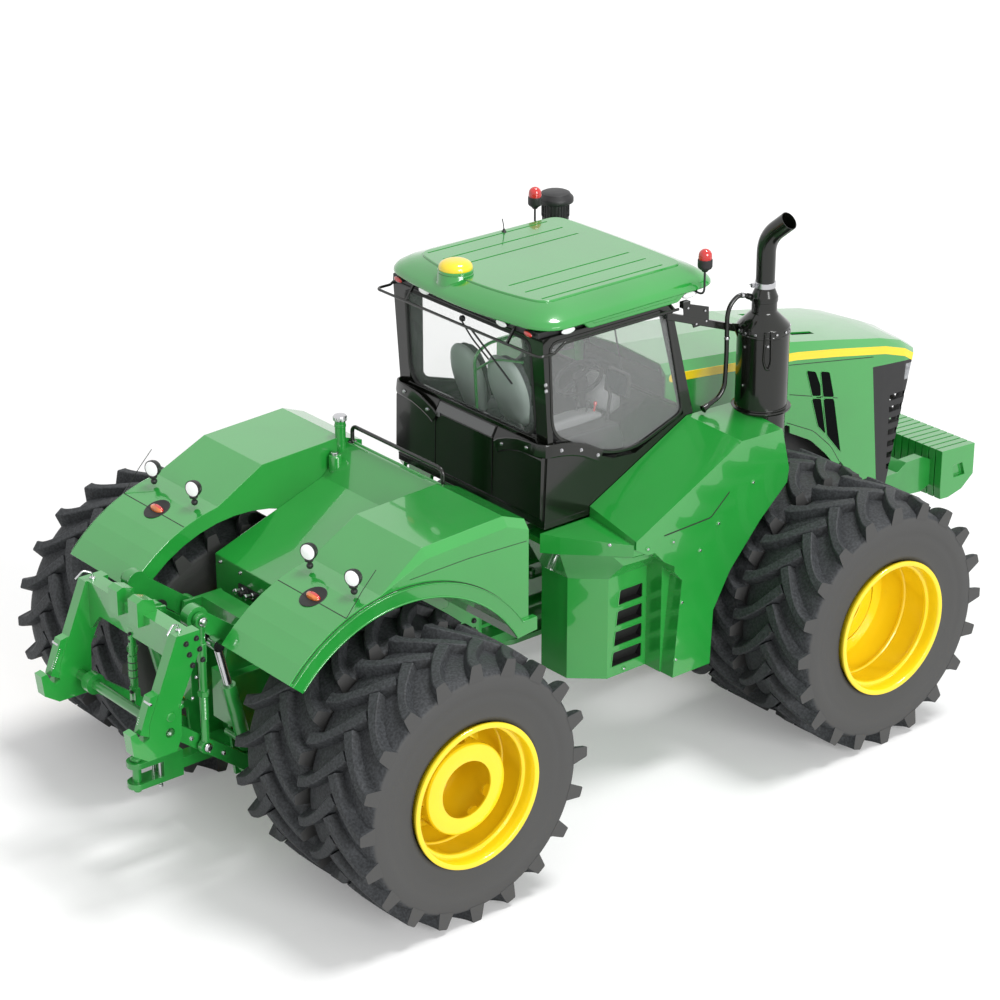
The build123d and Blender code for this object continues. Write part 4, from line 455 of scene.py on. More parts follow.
# ---------------------------------------------------------------- rims
RIM_INNER = ((717.5, 558), (739.5, 558), (741, 551), (745, 536), (800, 532), (830, 516), (1390, 516),
             (1420, 532), (1476, 536), (1480, 551), (1480.5, 557), (1489, 557), (1489, 515), (1480, 509),
             (1420, 505), (1392, 490), (829, 490), (800, 505), (736, 509), (717.5, 520))
RIM_OUTER = ((1491.5, 557), (1499.5, 557), (1501, 551), (1505, 536), (1560, 532), (1590, 516), (2150, 516),
             (2180, 532), (2236, 536), (2238, 551), (2240.5, 558), (2257, 559), (2262, 556), (2263, 550),
             (2263, 528), (2259, 521), (2250, 516), (2205, 511), (2160, 509), (2157, 503), (2155, 493),
             (2149, 488), (2125, 488), (2119, 492), (2117, 502), (2100, 507), (1915, 507), (1911, 499),
             (1905, 495), (1888, 495), (1882, 499), (1878, 507), (1760, 506), (1745, 498), (1690, 490),
             (1672, 480), (1670, 470), (1670, 382), (1650, 382), (1650, 486), (1590, 500), (1515, 509),
             (1491.5, 520))
INNER_DISC = ((885, 104), (885, 245), (890, 250), (933, 250), (935, 260), (935, 505), (955, 505), (955, 104))
# hub end in the drum: distance beyond its inner face and radius
HUB_END = ((0, 338), (12, 338), (16, 330), (16, 250), (70, 215), (88, 190), (92, 20), (0, 20))
NUT_COUNT = 12
NUT_RING_R = 285.0
RIM_SEGMENTS = 96
DRUM_R = 352.0
DRUM_IN_R = 338.0
DRUM_HOLE_R = 219.0
SLOT_COUNT = 12
SLOT_HALF_W = 48.0


def slotted_wall(shape, centre, sign, low, high, slot_low, slot_high):
    """Drum wall with long round-cornered holes; distances from the vehicle's centre plane in millimetres."""
    steps = 32
    pitch = 2 * math.pi / SLOT_COUNT
    half_angle = SLOT_HALF_W / DRUM_R
    middle, half_len = (slot_low + slot_high) / 2, (slot_high - slot_low) / 2
    outer, inner = [], []
    for slot in range(SLOT_COUNT):
        for turn in turns(steps):
            cx, cy = math.cos(turn), math.sin(turn)
            round_x = math.copysign(abs(cx) ** 0.7, cx)
            round_y = math.copysign(abs(cy) ** 0.7, cy)
            hole = (slot * pitch + half_angle * round_x, middle + half_len * round_y)
            big = max(abs(cx), abs(cy))
            square_x, square_y = cx / big, cy / big
            far_y = (high - middle) if square_y > 0 else (middle - low)
            border = (slot * pitch + pitch / 2 * square_x, middle + far_y * square_y)
            for radius, ring in ((DRUM_R, outer), (DRUM_IN_R, inner)):
                ring.append([centre + Vector((radius * MM * math.sin(angle), sign * y * MM,
                                              radius * MM * math.cos(angle))) for angle, y in (hole, border)])
    for slot in range(SLOT_COUNT):
        chain = list(range(slot * steps, (slot + 1) * steps))
        for here, after in zip(chain, chain[1:] + chain[:1]):
            shape.add([outer[here][0], outer[after][0], outer[after][1], outer[here][1]], [(0, 1, 2, 3)])
            shape.add([inner[here][0], inner[here][1], inner[after][1], inner[after][0]], [(0, 1, 2, 3)])
            shape.add([outer[here][0], inner[here][0], inner[after][0], outer[after][0]], [(0, 1, 2, 3)])


def rim_shape(centre, sign, drum_y):
    """Both rims, the drum and the hub of one wheel pair; centre is on the vehicle's centre plane."""
    shape = Shape()
    axis = Vector((0, sign, 0))
    for profile in (RIM_INNER, RIM_OUTER):
        shape.turned(mm_rows(profile), centre, axis, RIM_SEGMENTS, closed=True)
    # inner disc and hub
    shape.turned(mm_rows(INNER_DISC), centre, axis, RIM_SEGMENTS, closed=True)
    slotted = drum_y > 1900
    wall_low = drum_y - 300 if slotted else drum_y
    face = [(wall_low, DRUM_R), (wall_low, DRUM_IN_R), (955, DRUM_IN_R), (955, DRUM_R)]
    if slotted:
        shape.turned(mm_rows(face), centre, axis, RIM_SEGMENTS, closed=True)
        slotted_wall(shape, centre, sign, drum_y - 300, drum_y - 20, drum_y - 190, drum_y - 44)
    cap_low = drum_y - 20
    cap = [(cap_low, DRUM_R), (drum_y - 14, DRUM_R - 2), (drum_y - 5, DRUM_R - 9), (drum_y, DRUM_R - 22),
           (drum_y, DRUM_HOLE_R + 6), (drum_y - 2, DRUM_HOLE_R + 1), (drum_y - 6, DRUM_HOLE_R),
           (drum_y - 16, DRUM_HOLE_R), (drum_y - 16, DRUM_IN_R), (cap_low, DRUM_IN_R)]
    if not slotted:
        cap = cap[1:-2] + [(drum_y - 16, DRUM_IN_R), (955, DRUM_IN_R), (955, DRUM_R)]
    shape.turned(mm_rows(cap), centre, axis, RIM_SEGMENTS, closed=True)
    # hub end deep in the drum, with its nuts
    deep = 1560.0 if slotted else 1400.0
    shape.turned([((deep + y) * MM, r * MM) for y, r in HUB_END], centre, axis, 72, closed=True)
    for turn in turns(NUT_COUNT):
        foot = centre + Vector((NUT_RING_R * MM * math.cos(turn), sign * (deep + 16) * MM,
                                NUT_RING_R * MM * math.sin(turn)))
        shape.bolt(foot, axis, 0.036)
    return shape


def rims():
    """Rims with hubs, discs and wheel nuts."""
    for end, x, drum_y in (("front", AXLE_X, 1700.0), ("rear", -AXLE_X, 2130.0)):
        for sign, side in SIDES:
            shape = rim_shape(at(x, 0, AXLE_Z), sign, drum_y)
            piece(f"wheel_rims_{end}_{side}", shape, "yellow", f"wheels_{end}_{side}", 30.0,
                  replaces=[f"rims_{end}_{side}"])


rims()


# ---------------------------------------------------------------- carried-over nodes
# bevel width in metres for the nodes that keep their CAD mesh
EDGE_WIDTHS = {
    "front_frame": 0.006, "rear_frame": 0.006, "front_axle": 0.006, "rear_axle": 0.006, "engine": 0.010,
    "radiator": 0.004, "firewall": 0.003, "front_weights": 0.004, "hood": 0.004, "hood_stripe": 0.0004,
    "cab_floor": 0.004, "cab_frame": 0.009, "cab_lower_panels": 0.010, "cab_door": 0.006, "roof_rim": 0.008,
    "steering_column": 0.004, "side_console": 0.014, "right_tank": 0.006, "left_platform": 0.005,
    "stack_bracket": 0.006, "rear_fender_left": 0.006, "rear_fender_right": 0.006, "fuel_tank": 0.007,
    "drawbar": 0.006, "quick_coupler": 0.006, "lower_links": 0.006, "top_link": 0.004, "lift_arms": 0.007,
    "lift_rods": 0.003, "lift_barrels": 0.003, "lift_pistons": 0.002, "grille": 0.003,
    "steering_barrel_left": 0.003, "steering_barrel_right": 0.003, "steering_rod_left": 0.002,
    "steering_rod_right": 0.002,
}
for node_name, width in EDGE_WIDTHS.items():
    soften(NODES[node_name], width)


# ---------------------------------------------------------------- small helpers for the fittings
def bolts(name, places, axis, across, body, skin="steel", washer=True):
    """A set of bolt heads as one piece; places are points in metres, axis one vector or one for each."""
    shape = Shape()
    for index, place in enumerate(places):
        toward = axis[index] if isinstance(axis, list) else axis
        shape.bolt(place, toward, across, washer=washer)
    piece(name, shape, skin, body, 30.0)


def strip(shape, path, normals, half_width, height, skin=0):
    """Low band with chamfered edges along a path on a surface, lifted along the normals."""
    rings = []
    for index, point in enumerate(path):
        ahead = heading(path, index)
        up = normals[index] if isinstance(normals, list) else normals
        across = ahead.cross(up).normalized()
        low, high = point - across * half_width, point + across * half_width
        rings.append([low - up * 0.001, low + up * height * 0.6,
                      point - across * half_width * 0.8 + up * height,
                      point + across * half_width * 0.8 + up * height,
                      high + up * height * 0.6, high - up * 0.001])
    shape.loft(rings, skin)


def rounded_outline(corners, radii, steps=7):
    """Closed 2-D outline with each corner rounded, given as (a, b) pairs."""
    made = []
    count = len(corners)
    for index, here in enumerate(corners):
        before, after = Vector(corners[index - 1]), Vector(corners[(index + 1) % count])
        here = Vector(here)
        radius = radii[index] if isinstance(radii, (list, tuple)) else radii
        back, ahead = before - here, after - here
        reach = min(radius, back.length * 0.49, ahead.length * 0.49)
        made += arc_between(here + back.normalized() * reach, here, here + ahead.normalized() * reach, steps)
    return made


# ---------------------------------------------------------------- roof
ROOF_STEPS = 26
ROOF_REAR_BOW = 120.0
ROOF_FRONT_BOW = 20.0


def roof_outline(share, inset, z):
    """Ring of points round the roof: share 0 is the outer edge and 1 the raised middle, inset in millimetres."""
    def blend(edge, middle):
        return edge + (middle - edge) * share
    rear_x = blend(-395.0, -235.0) + inset
    front_x = blend(1365.0, 1165.0) - inset
    rear_y = blend(975.0, 745.0) - inset
    front_y = blend(955.0, 745.0) - inset
    radius = blend(210.0, 95.0)
    runs = [step / ROOF_STEPS * 2 - 1 for step in range(ROOF_STEPS + 1)]
    rear = [(rear_x - ROOF_REAR_BOW * (1 - t * t), -rear_y * t) for t in runs]
    front = [(front_x + ROOF_FRONT_BOW * (1 - t * t), front_y * t) for t in runs]
    ring = []
    for chain, other in ((rear, front), (front, rear)):
        ring += round_chain(chain, other[-1], other[0], radius)
    return [at(px, py, z) for px, py in ring]


def round_chain(chain, before, after, radius, steps=8):
    """One bowed edge with its two ends rounded into the straight sides."""
    points = [Vector(point) for point in chain]
    first, last = points[0], points[-1]
    kept = [point for point in points if (point - first).length > radius and (point - last).length > radius]
    lead = first + (Vector(before) - first).normalized() * radius
    tail = last + (Vector(after) - last).normalized() * radius
    return arc_between(lead, first, kept[0], steps) + kept[1:-1] + arc_between(kept[-1], last, tail, steps)


def resample(ring, count):
    """The same closed ring with a fixed number of evenly spaced points."""
    lengths = [0.0]
    for here, after in zip(ring, ring[1:] + ring[:1]):
        lengths.append(lengths[-1] + (after - here).length)
    made = []
    segment = 0
    for index in range(count):
        want = lengths[-1] * index / count
        while lengths[segment + 1] < want:
            segment += 1
        t = (want - lengths[segment]) / max(lengths[segment + 1] - lengths[segment], 1e-9)
        made.append(ring[segment].lerp(ring[(segment + 1) % len(ring)], t))
    return made


# share of the way to the raised middle, inset and height of each ring
ROOF_LEVELS = (
    (0.0, 110.0, 3701.0), (0.0, 60.0, 3701.0), (0.0, 20.0, 3708.0), (0.0, 5.0, 3716.0), (0.0, 0.0, 3724.0),
    (0.0, 2.0, 3742.0), (0.0, 12.0, 3762.0), (0.08, 14.0, 3782.0), (0.5, 0.0, 3828.0), (0.94, 0.0, 3858.0),
    (0.97, 0.0, 3858.0), (0.985, 0.0, 3855.0), (0.99, 0.0, 3864.0), (1.0, 1.0, 3870.0), (1.0, 8.0, 3872.0),
)
ROOF_GROOVES_Y = (300.0, 490.0, 680.0)
ROOF_GROOVE_X = (-205, 1005)


def box_outline(low_a, high_a, low_b, high_b, radius, steps):
    """Rounded outline of an upright rectangle."""
    return rounded_outline([(low_a, low_b), (high_a, low_b), (high_a, high_b), (low_a, high_b)], radius,
                           steps)


def roof():
    """Roof panel with its grooves, and the pod along each side."""
    shape = Shape()
    shape.loft([resample(roof_outline(*level), 180) for level in ROOF_LEVELS])
    obj = piece("roof_panel", shape, "green", "front", 26.0)
    cutter = Shape()
    for sign in SIGNS:
        for y in ROOF_GROOVES_Y:
            outline = box_outline(*ROOF_GROOVE_X, sign * y - 8, sign * y + 8, 8.0, 4)
            cutter.slab([at(px, py, 3864.0) for px, py in outline], Vector((0, 0, 0.02)))
    carve(obj, cutter)
    round_edges(obj, 0.0025, 2, 24.0)
    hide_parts("cab_roof")
    pods = Shape()
    for sign in SIGNS:
        low, high = (-35.0, 1005.0)
        rows = []
        for y, gap, lift in ((870.0, 0.0, 0.0), (940.0, 0.0, 0.0), (950.0, 5.0, 4.0), (953.0, 12.0, 12.0)):
            rows.append([at(px, sign * y, pz) for px, pz in
                         ((low + gap, 3745), (low + gap, 3716 + lift), (low + 62 + gap, 3664 + lift),
                          (low + 84 + gap, 3656 + lift), (high - 84 - gap, 3656 + lift),
                          (high - 62 - gap, 3664 + lift), (high - gap, 3716 + lift), (high - gap, 3745))])
        pods.loft(rows)
        # long pressed recess in the outer face
        recess = rounded_outline([(70, 3690), (905, 3690), (925, 3722), (50, 3722)], 14.0, 4)
        pods.loft([[at(px, sign * 953.5, pz) for px, pz in recess],
                   [at(px * 0.985 + 7, sign * 957.0, 3706 + (pz - 3706) * 0.72) for px, pz in recess]])
    piece("roof_side_pods", pods, "green", "front", 30.0, bevel=0.003)


def carve(obj, cutter):
    """Cuts the solids of a shape out of an object."""
    mesh = bpy.data.meshes.new("cutter")
    mesh.from_pydata([tuple(point) for point in cutter.points], [], cutter.faces)
    tool = bpy.data.objects.new("cutter", mesh)
    bpy.context.scene.collection.objects.link(tool)
    cut = obj.modifiers.new("cut", "BOOLEAN")
    cut.operation = "DIFFERENCE"
    cut.solver = "EXACT"
    cut.object = tool
    bpy.context.view_layer.update()
    depsgraph = bpy.context.evaluated_depsgraph_get()
    made = bpy.data.meshes.new_from_object(obj.evaluated_get(depsgraph))
    obj.modifiers.remove(cut)
    obj.data = made
    bpy.data.objects.remove(tool)


roof()


LENS_SKIN, SHELL_SKIN = 0, 1     # places in a lamp's list of skins
LAMP_DEPTH = 0.05


def oval_lamp(shape, centre, axis, side, length, height, depth=LAMP_DEPTH):
    """Oval lamp: housing behind and a domed lens in front."""
    axis, side = Vector(axis).normalized(), Vector(side).normalized()
    up = axis.cross(side)
    shell = ((-depth, 0.45), (-depth * 0.7, 0.8), (-depth * 0.25, 1.0), (0.0, 1.04), (0.002, 1.0))
    lens = ((0.001, 0.97), (0.008, 0.93), (0.014, 0.80), (0.018, 0.5), (0.019, 0.05))
    for rows, skin in ((shell, SHELL_SKIN), (lens, LENS_SKIN)):
        shape.loft([[centre + axis * along + side * (math.cos(turn) * length / 2 * scale)
                     + up * (math.sin(turn) * height / 2 * scale) for turn in turns(28)]
                    for along, scale in rows], skin)


WHITE_LENS = Look("white lens", (0.86, 0.87, 0.88), 0.12, coat=0.8).bump(260.0, 0.25, 0.001)
WHITE_LENS.put("Emission Color", (1.0, 1.0, 1.0, 1.0))
WHITE_LENS.put("Emission Strength", 0.25)
M["white_lens"] = WHITE_LENS.material
M["amber_lens"] = Look("amber lens", (0.72, 0.17, 0.02), 0.14, coat=0.8).vary(0.25, 20.0).material
M["rubber"] = Look("rubber seal", (0.010, 0.010, 0.010), 0.6).bump(500.0, 0.3).material


def roof_lights():
    """Pale work lamps round the roof and red tail lamps at its rear corners."""
    white, red = Shape(), Shape()
    for y in (-466.0, 466.0):
        oval_lamp(white, at(-412, y, 3668), (-0.96, 0, -0.28), (0, 1, 0), 0.125, 0.058)
    for y in (-779.0, 779.0):
        oval_lamp(red, at(-418, y, 3676), (-0.95, -0.2 if y < 0 else 0.2, -0.2), (0.1, 1, 0), 0.11, 0.046)
    for sign in SIGNS:
        for x in (-130.0, 1090.0):
            oval_lamp(white, at(x, sign * 896, 3668), (0.05, sign * 0.97, -0.25), (1, 0, 0), 0.135, 0.056)
    piece("roof_work_lamps", white, ["white_lens", "black_plastic"], "front", 40.0,
          replaces=["roof_lamps"])
    piece("roof_tail_lamps", red, ["red_lens", "black_plastic"], "front", 40.0)


roof_lights()


# ---------------------------------------------------------------- beacons, receiver, antenna
def warning_beacons():
    """Beacon on a bent post at each side of the roof."""
    shape = Shape()
    for sign in SIGNS:
        foot = at(1150, sign * 880, 3682)
        path = curve_points([foot, at(1150, sign * 1000, 3682), at(1150, sign * 1000, 3868)], 0.06, 8)
        shape.tube(path, 0.0085, 12, 1)
        top = at(1150, sign * 1000, 3866)
        shape.turned([(0.0, 0.010), (0.004, 0.020), (0.018, 0.030), (0.032, 0.050), (0.042, 0.056),
                      (0.050, 0.0575), (0.100, 0.0575), (0.104, 0.054)], top, UP, 32, 1)
        dome = [(0.103, 0.050)] + [(0.104 + 0.030 + 0.052 * math.sin(a), 0.052 * math.cos(a))
                                  for a in [math.radians(step * 11.25) for step in range(9)]]
        shape.turned(dome, top, UP, 32, 0)
        for level in (0.112, 0.122):
            shape.turned([(level, 0.0500), (level + 0.002, 0.0535), (level + 0.004, 0.0500)], top, UP, 32, 0)
        shape.turned([(0.0, 0.030), (0.010, 0.030), (0.014, 0.024)], foot + Vector((0, sign * 0.004, 0)),
                     (0, sign, 0), 20, 1)
    piece("warning_beacons", shape, ["red_lens", "black_plastic"], "front", 35.0,
          replaces=["beacons"])


def receiver():
    """Domed receiver on its seat at the rear of the roof."""
    shape = Shape()
    base = at(-322, 190, 3785)
    shape.turned([(0.0, 0.150), (0.018, 0.150), (0.030, 0.142), (0.086, 0.140), (0.094, 0.136),
                  (0.094, 0.131), (0.100, 0.131), (0.100, 0.138), (0.116, 0.138), (0.120, 0.134)], base, UP,
                 56, 1)
    shape.turned([(0.098, 0.1315), (0.101, 0.1315)], base, UP, 56, 2)
    dome = [(0.118, 0.130), (0.126, 0.1325)] + [
        (0.128 + 0.062 * math.sin(a), 0.132 * math.cos(a) ** 0.62) for a in
        [math.radians(step * 9.9) for step in range(1, 10)]] + [(0.190, 0.002)]
    shape.turned(dome, base, UP, 56, 0)
    piece("position_receiver", shape, ["receiver_yellow", "green", "rubber"], "front",
          35.0,
          replaces=["gps_receiver"])


def antenna():
    """Stub antenna with its foot."""
    shape = Shape()
    foot = at(577, 700, 3866)
    shape.turned([(0, 0.020), (0.010, 0.019), (0.018, 0.011), (0.030, 0.008)], foot, UP, 20)
    shape.tube([foot + Vector((0, 0, 0.02)), foot + Vector((-0.006, 0.0, 0.07)),
                foot + Vector((-0.016, 0.002, 0.115))],
               0.004, 10)
    piece("roof_antenna", shape, "black_plastic", "front", 40.0)


warning_beacons()
receiver()
antenna()


# ---------------------------------------------------------------- exhaust and air cleaner
STACK = at(1740, -1060, 0)
STACK_R = 0.207


def stack_surface(turn, z, lift=0.0):
    """Point and outward normal on the muffler at an angle in degrees from the view side."""
    angle = math.radians(225.0 + turn)
    normal = Vector((math.cos(angle), math.sin(angle), 0))
    return STACK + normal * (STACK_R + lift) + Vector((0, 0, z * MM)), normal


def exhaust():
    """Muffler, clamp, elbow pipe with an open mouth, lifting strap and bolts."""
    shape = Shape()
    r = STACK_R
    shape.turned([(2.345, 0.160), (2.345, r - 0.02), (2.350, r - 0.012), (2.640, r - 0.012), (2.640, 0.234),
                  (2.652, 0.238), (2.656, 0.238), (2.662, 0.232), (2.664, r + 0.004), (2.668, r), (3.262, r),
                  (3.266, r + 0.004), (3.272, r + 0.005), (3.278, r + 0.004), (3.281, r), (3.326, r),
                  (3.334, r - 0.003), (3.424, 0.112), (3.432, 0.104), (3.446, 0.100), (3.520, 0.100),
                  (3.524, 0.106), (3.560, 0.106), (3.566, 0.102), (3.616, 0.082), (3.622, 0.078),
                  (3.640, 0.078)], STACK, UP, 72)
    # clamp
    shape.turned([(3.632, 0.079), (3.634, 0.083), (3.676, 0.083), (3.678, 0.079)], STACK, UP, 56, 1)
    shape.block(STACK + Vector((-0.112, 0.02, 3.640)), STACK + Vector((-0.078, 0.05, 3.670)), 1, 0.004)
    shape.turned([(0, 0.006), (0.06, 0.006)], STACK + Vector((-0.100, 0.006, 3.655)), (0, 1, 0), 12, 1)
    # elbow pipe with an open slanted mouth
    path = curve_points([STACK + Vector((0, 0, 3.660)), STACK + Vector((0, 0, 4.035)),
                         STACK + Vector((0.040, -0.190, 4.205))], 0.17, 12)
    outer, inner = [], []
    side = Vector((1, 0, 0))
    for index, point in enumerate(path):
        ahead = heading(path, index)
        side = (side - ahead * side.dot(ahead)).normalized()
        for radius, rings in ((0.075, outer), (0.069, inner)):
            rings.append(around(point, side, ahead.cross(side), radius, 40))
    shape.loft(outer + list(reversed(inner)), 0, caps=False)
    # lifting strap on the muffler
    strap = [stack_surface(turn, z, 0.010)[0] for turn, z in
             ((4, 3330), (3, 3200), (2, 3090), (8, 3030), (14, 3024), (19, 3075), (18, 3200), (17, 3340))]
    shape.tube(curve_points(strap, 0.03, 4), 0.010, 10)
    piece("exhaust_muffler", shape, ["black_paint", "steel"], "front", 32.0,
          replaces=["exhaust_stack"])
    marks = [(turn, 3304) for turn in (-61, -40, -16, 4, 30, 55, 80)] + [(-41, 3190), (-43, 2868), (11, 3215)]
    marks += [(turn, 3304) for turn in range(105, 290, 25)]
    places, normals = zip(*[stack_surface(turn, z) for turn, z in marks])
    bolts("muffler_bolts", places, list(normals), 0.019, "front", washer=False)


def stack_stay():
    """Plate on the cab corner, bracket ends of the beam and the grab tube beside the muffler."""
    shape = Shape()
    plate = [(983, 3639), (1256, 3548), (1261, 3415), (1100, 3410), (1087, 3440), (1001, 3477)]
    shape.slab([at(px, -938, pz) for px, pz in plate], Vector((0, -0.010, 0)))
    shape.block(at(985, -950, 3590), at(1060, -900, 3640), 0, 0.004)
    shape.slab([at(px, -962, pz) for px, pz in ((1500, 3358), (1640, 3318), (1640, 3228), (1560, 3232))],
               Vector((0, 0.012, 0)))
    piece("stack_stay_plates", shape, "black_paint", "front", 30.0, bevel=0.003)
    bolts("stay_bolts", [at(px, -948, pz) for px, pz in ((1030, 3590), (1210, 3528), (1120, 3440),
                                                         (1225, 3440))],
          Vector((0, -1, 0)), 0.018, "front", washer=False)
    tube = Shape()
    path = curve_points(spots((1668, -1000, 3545), (1560, -962, 3585), (1470, -960, 3520), (1440, -960, 3440),
                              (1446, -960, 3100), (1436, -960, 2850), (1380, -960, 2775), (1215, -955, 2712)),
                        0.09, 7)
    tube.tube(path, 0.0185, 14)
    for share, axis in ((0, path[1] - path[0]), (-1, path[-2] - path[-1])):
        tube.turned([(0.0, 0.032), (0.006, 0.032), (0.012, 0.026), (0.05, 0.024)], path[share], axis, 20)
    piece("stack_grab_tube", tube, "black_paint", "front", 35.0)
    rings = Shape()
    for foot, axis in ((path[2], path[3] - path[2]), (at(1444, -960, 3240), UP)):
        rings.turned([(0.0, 0.0195), (0.002, 0.0225), (0.020, 0.0225), (0.022, 0.0195)], foot, axis, 20)
    piece("grab_tube_clamps", rings, "steel", "front", 30.0)


def air_cleaner():
    """Ribbed air cleaner with its slotted cap."""
    shape = Shape()
    base = at(1420, 1060, 0)
    profile = [(2.640, 0.215), (2.650, 0.215), (2.654, 0.204), (2.700, 0.200)]
    for step in range(5):
        z = 2.78 + step * 0.12
        profile += [(z, 0.200), (z + 0.006, 0.204), (z + 0.014, 0.204), (z + 0.020, 0.200)]
    profile += [(3.345, 0.200), (3.352, 0.197), (3.432, 0.118), (3.440, 0.110), (3.660, 0.110),
                (3.664, 0.116), (3.690, 0.116), (3.694, 0.110), (3.850, 0.110), (3.858, 0.140),
                (3.862, 0.146), (3.866, 0.148), (3.896, 0.148), (3.904, 0.144), (3.922, 0.126),
                (3.936, 0.118), (3.944, 0.100), (3.948, 0.060), (3.950, 0.002)]
    shape.turned(profile, base, UP, 64)
    for turn in turns(28):
        out = Vector((math.cos(turn), math.sin(turn), 0))
        shape.tube([base + out * 0.112 + Vector((0, 0, 3.74)), base + out * 0.112 + Vector((0, 0, 3.85))],
                   0.004, 6)
    shape.turned([(3.775, 0.110), (3.777, 0.113), (3.783, 0.113), (3.785, 0.110)], base, UP, 64)
    piece("air_cleaner", shape, "black_plastic", "front", 30.0, replaces=["air_precleaner"])


exhaust()
stack_stay()
air_cleaner()


# ---------------------------------------------------------------- cab windows
SIDE_GLASS = Look("side glass", (0.84, 0.86, 0.86), 0.04, coat=0.6).gloss(0.02, 0.07, 2.0)
SIDE_GLASS.put("Alpha", 0.11)
CLEAR_GLASS = Look("clear glass", (0.62, 0.70, 0.66), 0.03, coat=0.6).gloss(0.02, 0.06, 2.0)
CLEAR_GLASS.put("Alpha", 0.08)
M["side_glass"], M["clear_glass"] = SIDE_GLASS.material, CLEAR_GLASS.material
REAR_LEAN = 60.0 / 860.0


def on_right(a, b, out=0.0):
    """Point on the cab's right wall."""
    return at(a, -900.0 - out, b)


def on_rear(a, b, out=0.0):
    """Point on the cab's rear wall."""
    return at(-320.0 - REAR_LEAN * (b - 2790.0) - out, a, b)


def on_front(a, b, out=0.0):
    """Point on the cab's front wall."""
    return at(1160.0 - 260.0 * (b - 2690.0) / 960.0 + out, a, b)


def on_door(a, b, out=0.0):
    """Point on the door's outside."""
    return at(a, 895.0 + out, b)


# face, body, corners of the clear opening, corner radii, skin of the pane, how deep the pane lies
WINDOWS = (
    ("right", on_right, "front", ((-296, 3588), (-262, 2870), (-40, 2740), (300, 2585), (570, 2560),
                                  (1040, 2725), (850, 3588)), (60, 130, 200, 160, 140, 60, 60), "side_glass",
     14.0),
    ("rear", on_rear, "front", ((-735, 3588), (-752, 2815), (752, 2815), (735, 3588)), (70, 170, 170, 70),
     "clear_glass", 14.0),
    ("windscreen", on_front, "front", ((-778, 3588), (-798, 2712), (798, 2712), (778, 3588)),
     (60, 90, 90, 60),
     "clear_glass", 18.0),
    ("door", on_door, "door", ((-122, 3522), (-122, 2770), (500, 2575), (945, 2700), (782, 3522)),
     (60, 90, 120, 80, 60), "clear_glass", 22.0),
)
def grown(outline, gap):
    """Closed 2-D outline moved outwards by a gap."""
    middle = sum(outline, Vector((0, 0))) / len(outline)
    made = []
    for index, here in enumerate(outline):
        along = outline[(index + 1) % len(outline)] - outline[index - 1]
        normal = Vector((along.y, -along.x)).normalized()
        if normal.dot(here - middle) < 0:
            normal = -normal
        made.append(here + normal * gap)
    return made


def windows():
    """Pane and rubber seal of each window."""
    for name, face, body, corners, radii, skin, deep in WINDOWS:
        clear = resample(rounded_outline(corners, radii, 8), 120)
        pane = Shape()
        rim = grown(clear, 9.0)
        pane.loft([[face(*p, -deep - 6) for p in rim], [face(*p, -deep) for p in rim]])
        obj = piece(f"pane_{name}", pane, skin, body, 30.0)
        if name == "right":
            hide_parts("cab_glass")
        if name == "door":
            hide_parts("door_glass")
        seal = Shape()
        section = ((27.0, -3), (25.0, 5), (6.0, 6), (1.0, 1), (0.0, -deep + 1), (0.0, -deep - 8),
                   (12.0, -deep - 8))
        seal.loft([[face(*p, out) for p in (grown(clear, gap) if gap else clear)] for gap, out in section],
                  caps=False)
        piece(f"seal_{name}", seal, "black_paint" if name == "right" else "rubber", body,
              40.0)


windows()


# ---------------------------------------------------------------- cab trim
def corner_band(sign):
    """Glossy band that wraps the rear corner of the cab under the windows."""
    path = [(-386, 372, 2640), (-388, 420, 2672), (-390, 520, 2712), (-388, 640, 2742), (-386, 760, 2752),
            (-376, 850, 2752), (-345, 900, 2752), (-300, 918, 2750)]
    normals = [(-1, 0, 0.1)] * 5 + [(-0.85, 0.5, 0.1), (-0.5, 0.85, 0.1), (-0.1, 1, 0.1)]
    if sign < 0:
        path += [(-200, 920, 2738), (-90, 920, 2714), (20, 920, 2676), (110, 920, 2628), (190, 919, 2582)]
        normals += [(0, 1, 0.1)] * 5
    points = [at(px, sign * py, pz) for px, py, pz in path]
    ups = [Vector((nx, sign * ny, nz)).normalized() for nx, ny, nz in normals]
    shape = Shape()
    strip(shape, points, ups, 0.052, 0.014)
    return shape


def cab_trim():
    """Corner bands, ledge under the rear window, bolts and the pale pad on the rear wall."""
    shape = Shape()
    for sign in SIGNS:
        band = corner_band(sign)
        shape.add(band.points, band.faces)
    ledge = [(-770, 2818), (770, 2818), (790, 2786), (-790, 2786)]
    shape.slab([on_rear(a, b, 4) for a, b in ledge], Vector((-0.012, 0, -0.004)))
    piece("cab_corner_trim", shape, "black_paint", "front", 40.0, bevel=0.002)
    places = [at(-403, sign * y, z) for y, z in ((455, 2690), (745, 2752)) for sign in SIGNS]
    places += spots((-215, -934, 2740), (-20, -934, 2692), (150, -934, 2605))
    places += [on_right(-345, 3240, 2), on_right(-350, 3290, 2)]
    axes = [Vector((-1, 0, 0.05))] * 4 + [Vector((0, -1, 0.05))] * 3 + [Vector((0, -1, 0))] * 2
    bolts("cab_trim_bolts", places, axes, 0.020, "front")
    # centre pad on the rear wall: pale slanted ledge and its latch
    pad = Shape()
    pad.slab(spots((-372, -298, 2690), (-372, 372, 2690), (-330, 372, 2762), (-330, -298, 2762)),
             Vector((-0.010, 0, 0.006)))
    pad.block(at(-388, 330, 2660), at(-372, 366, 2700), 0, 0.003)
    piece("rear_panel_ledge", pad, "ledge_grey", "front", 30.0, bevel=0.003)


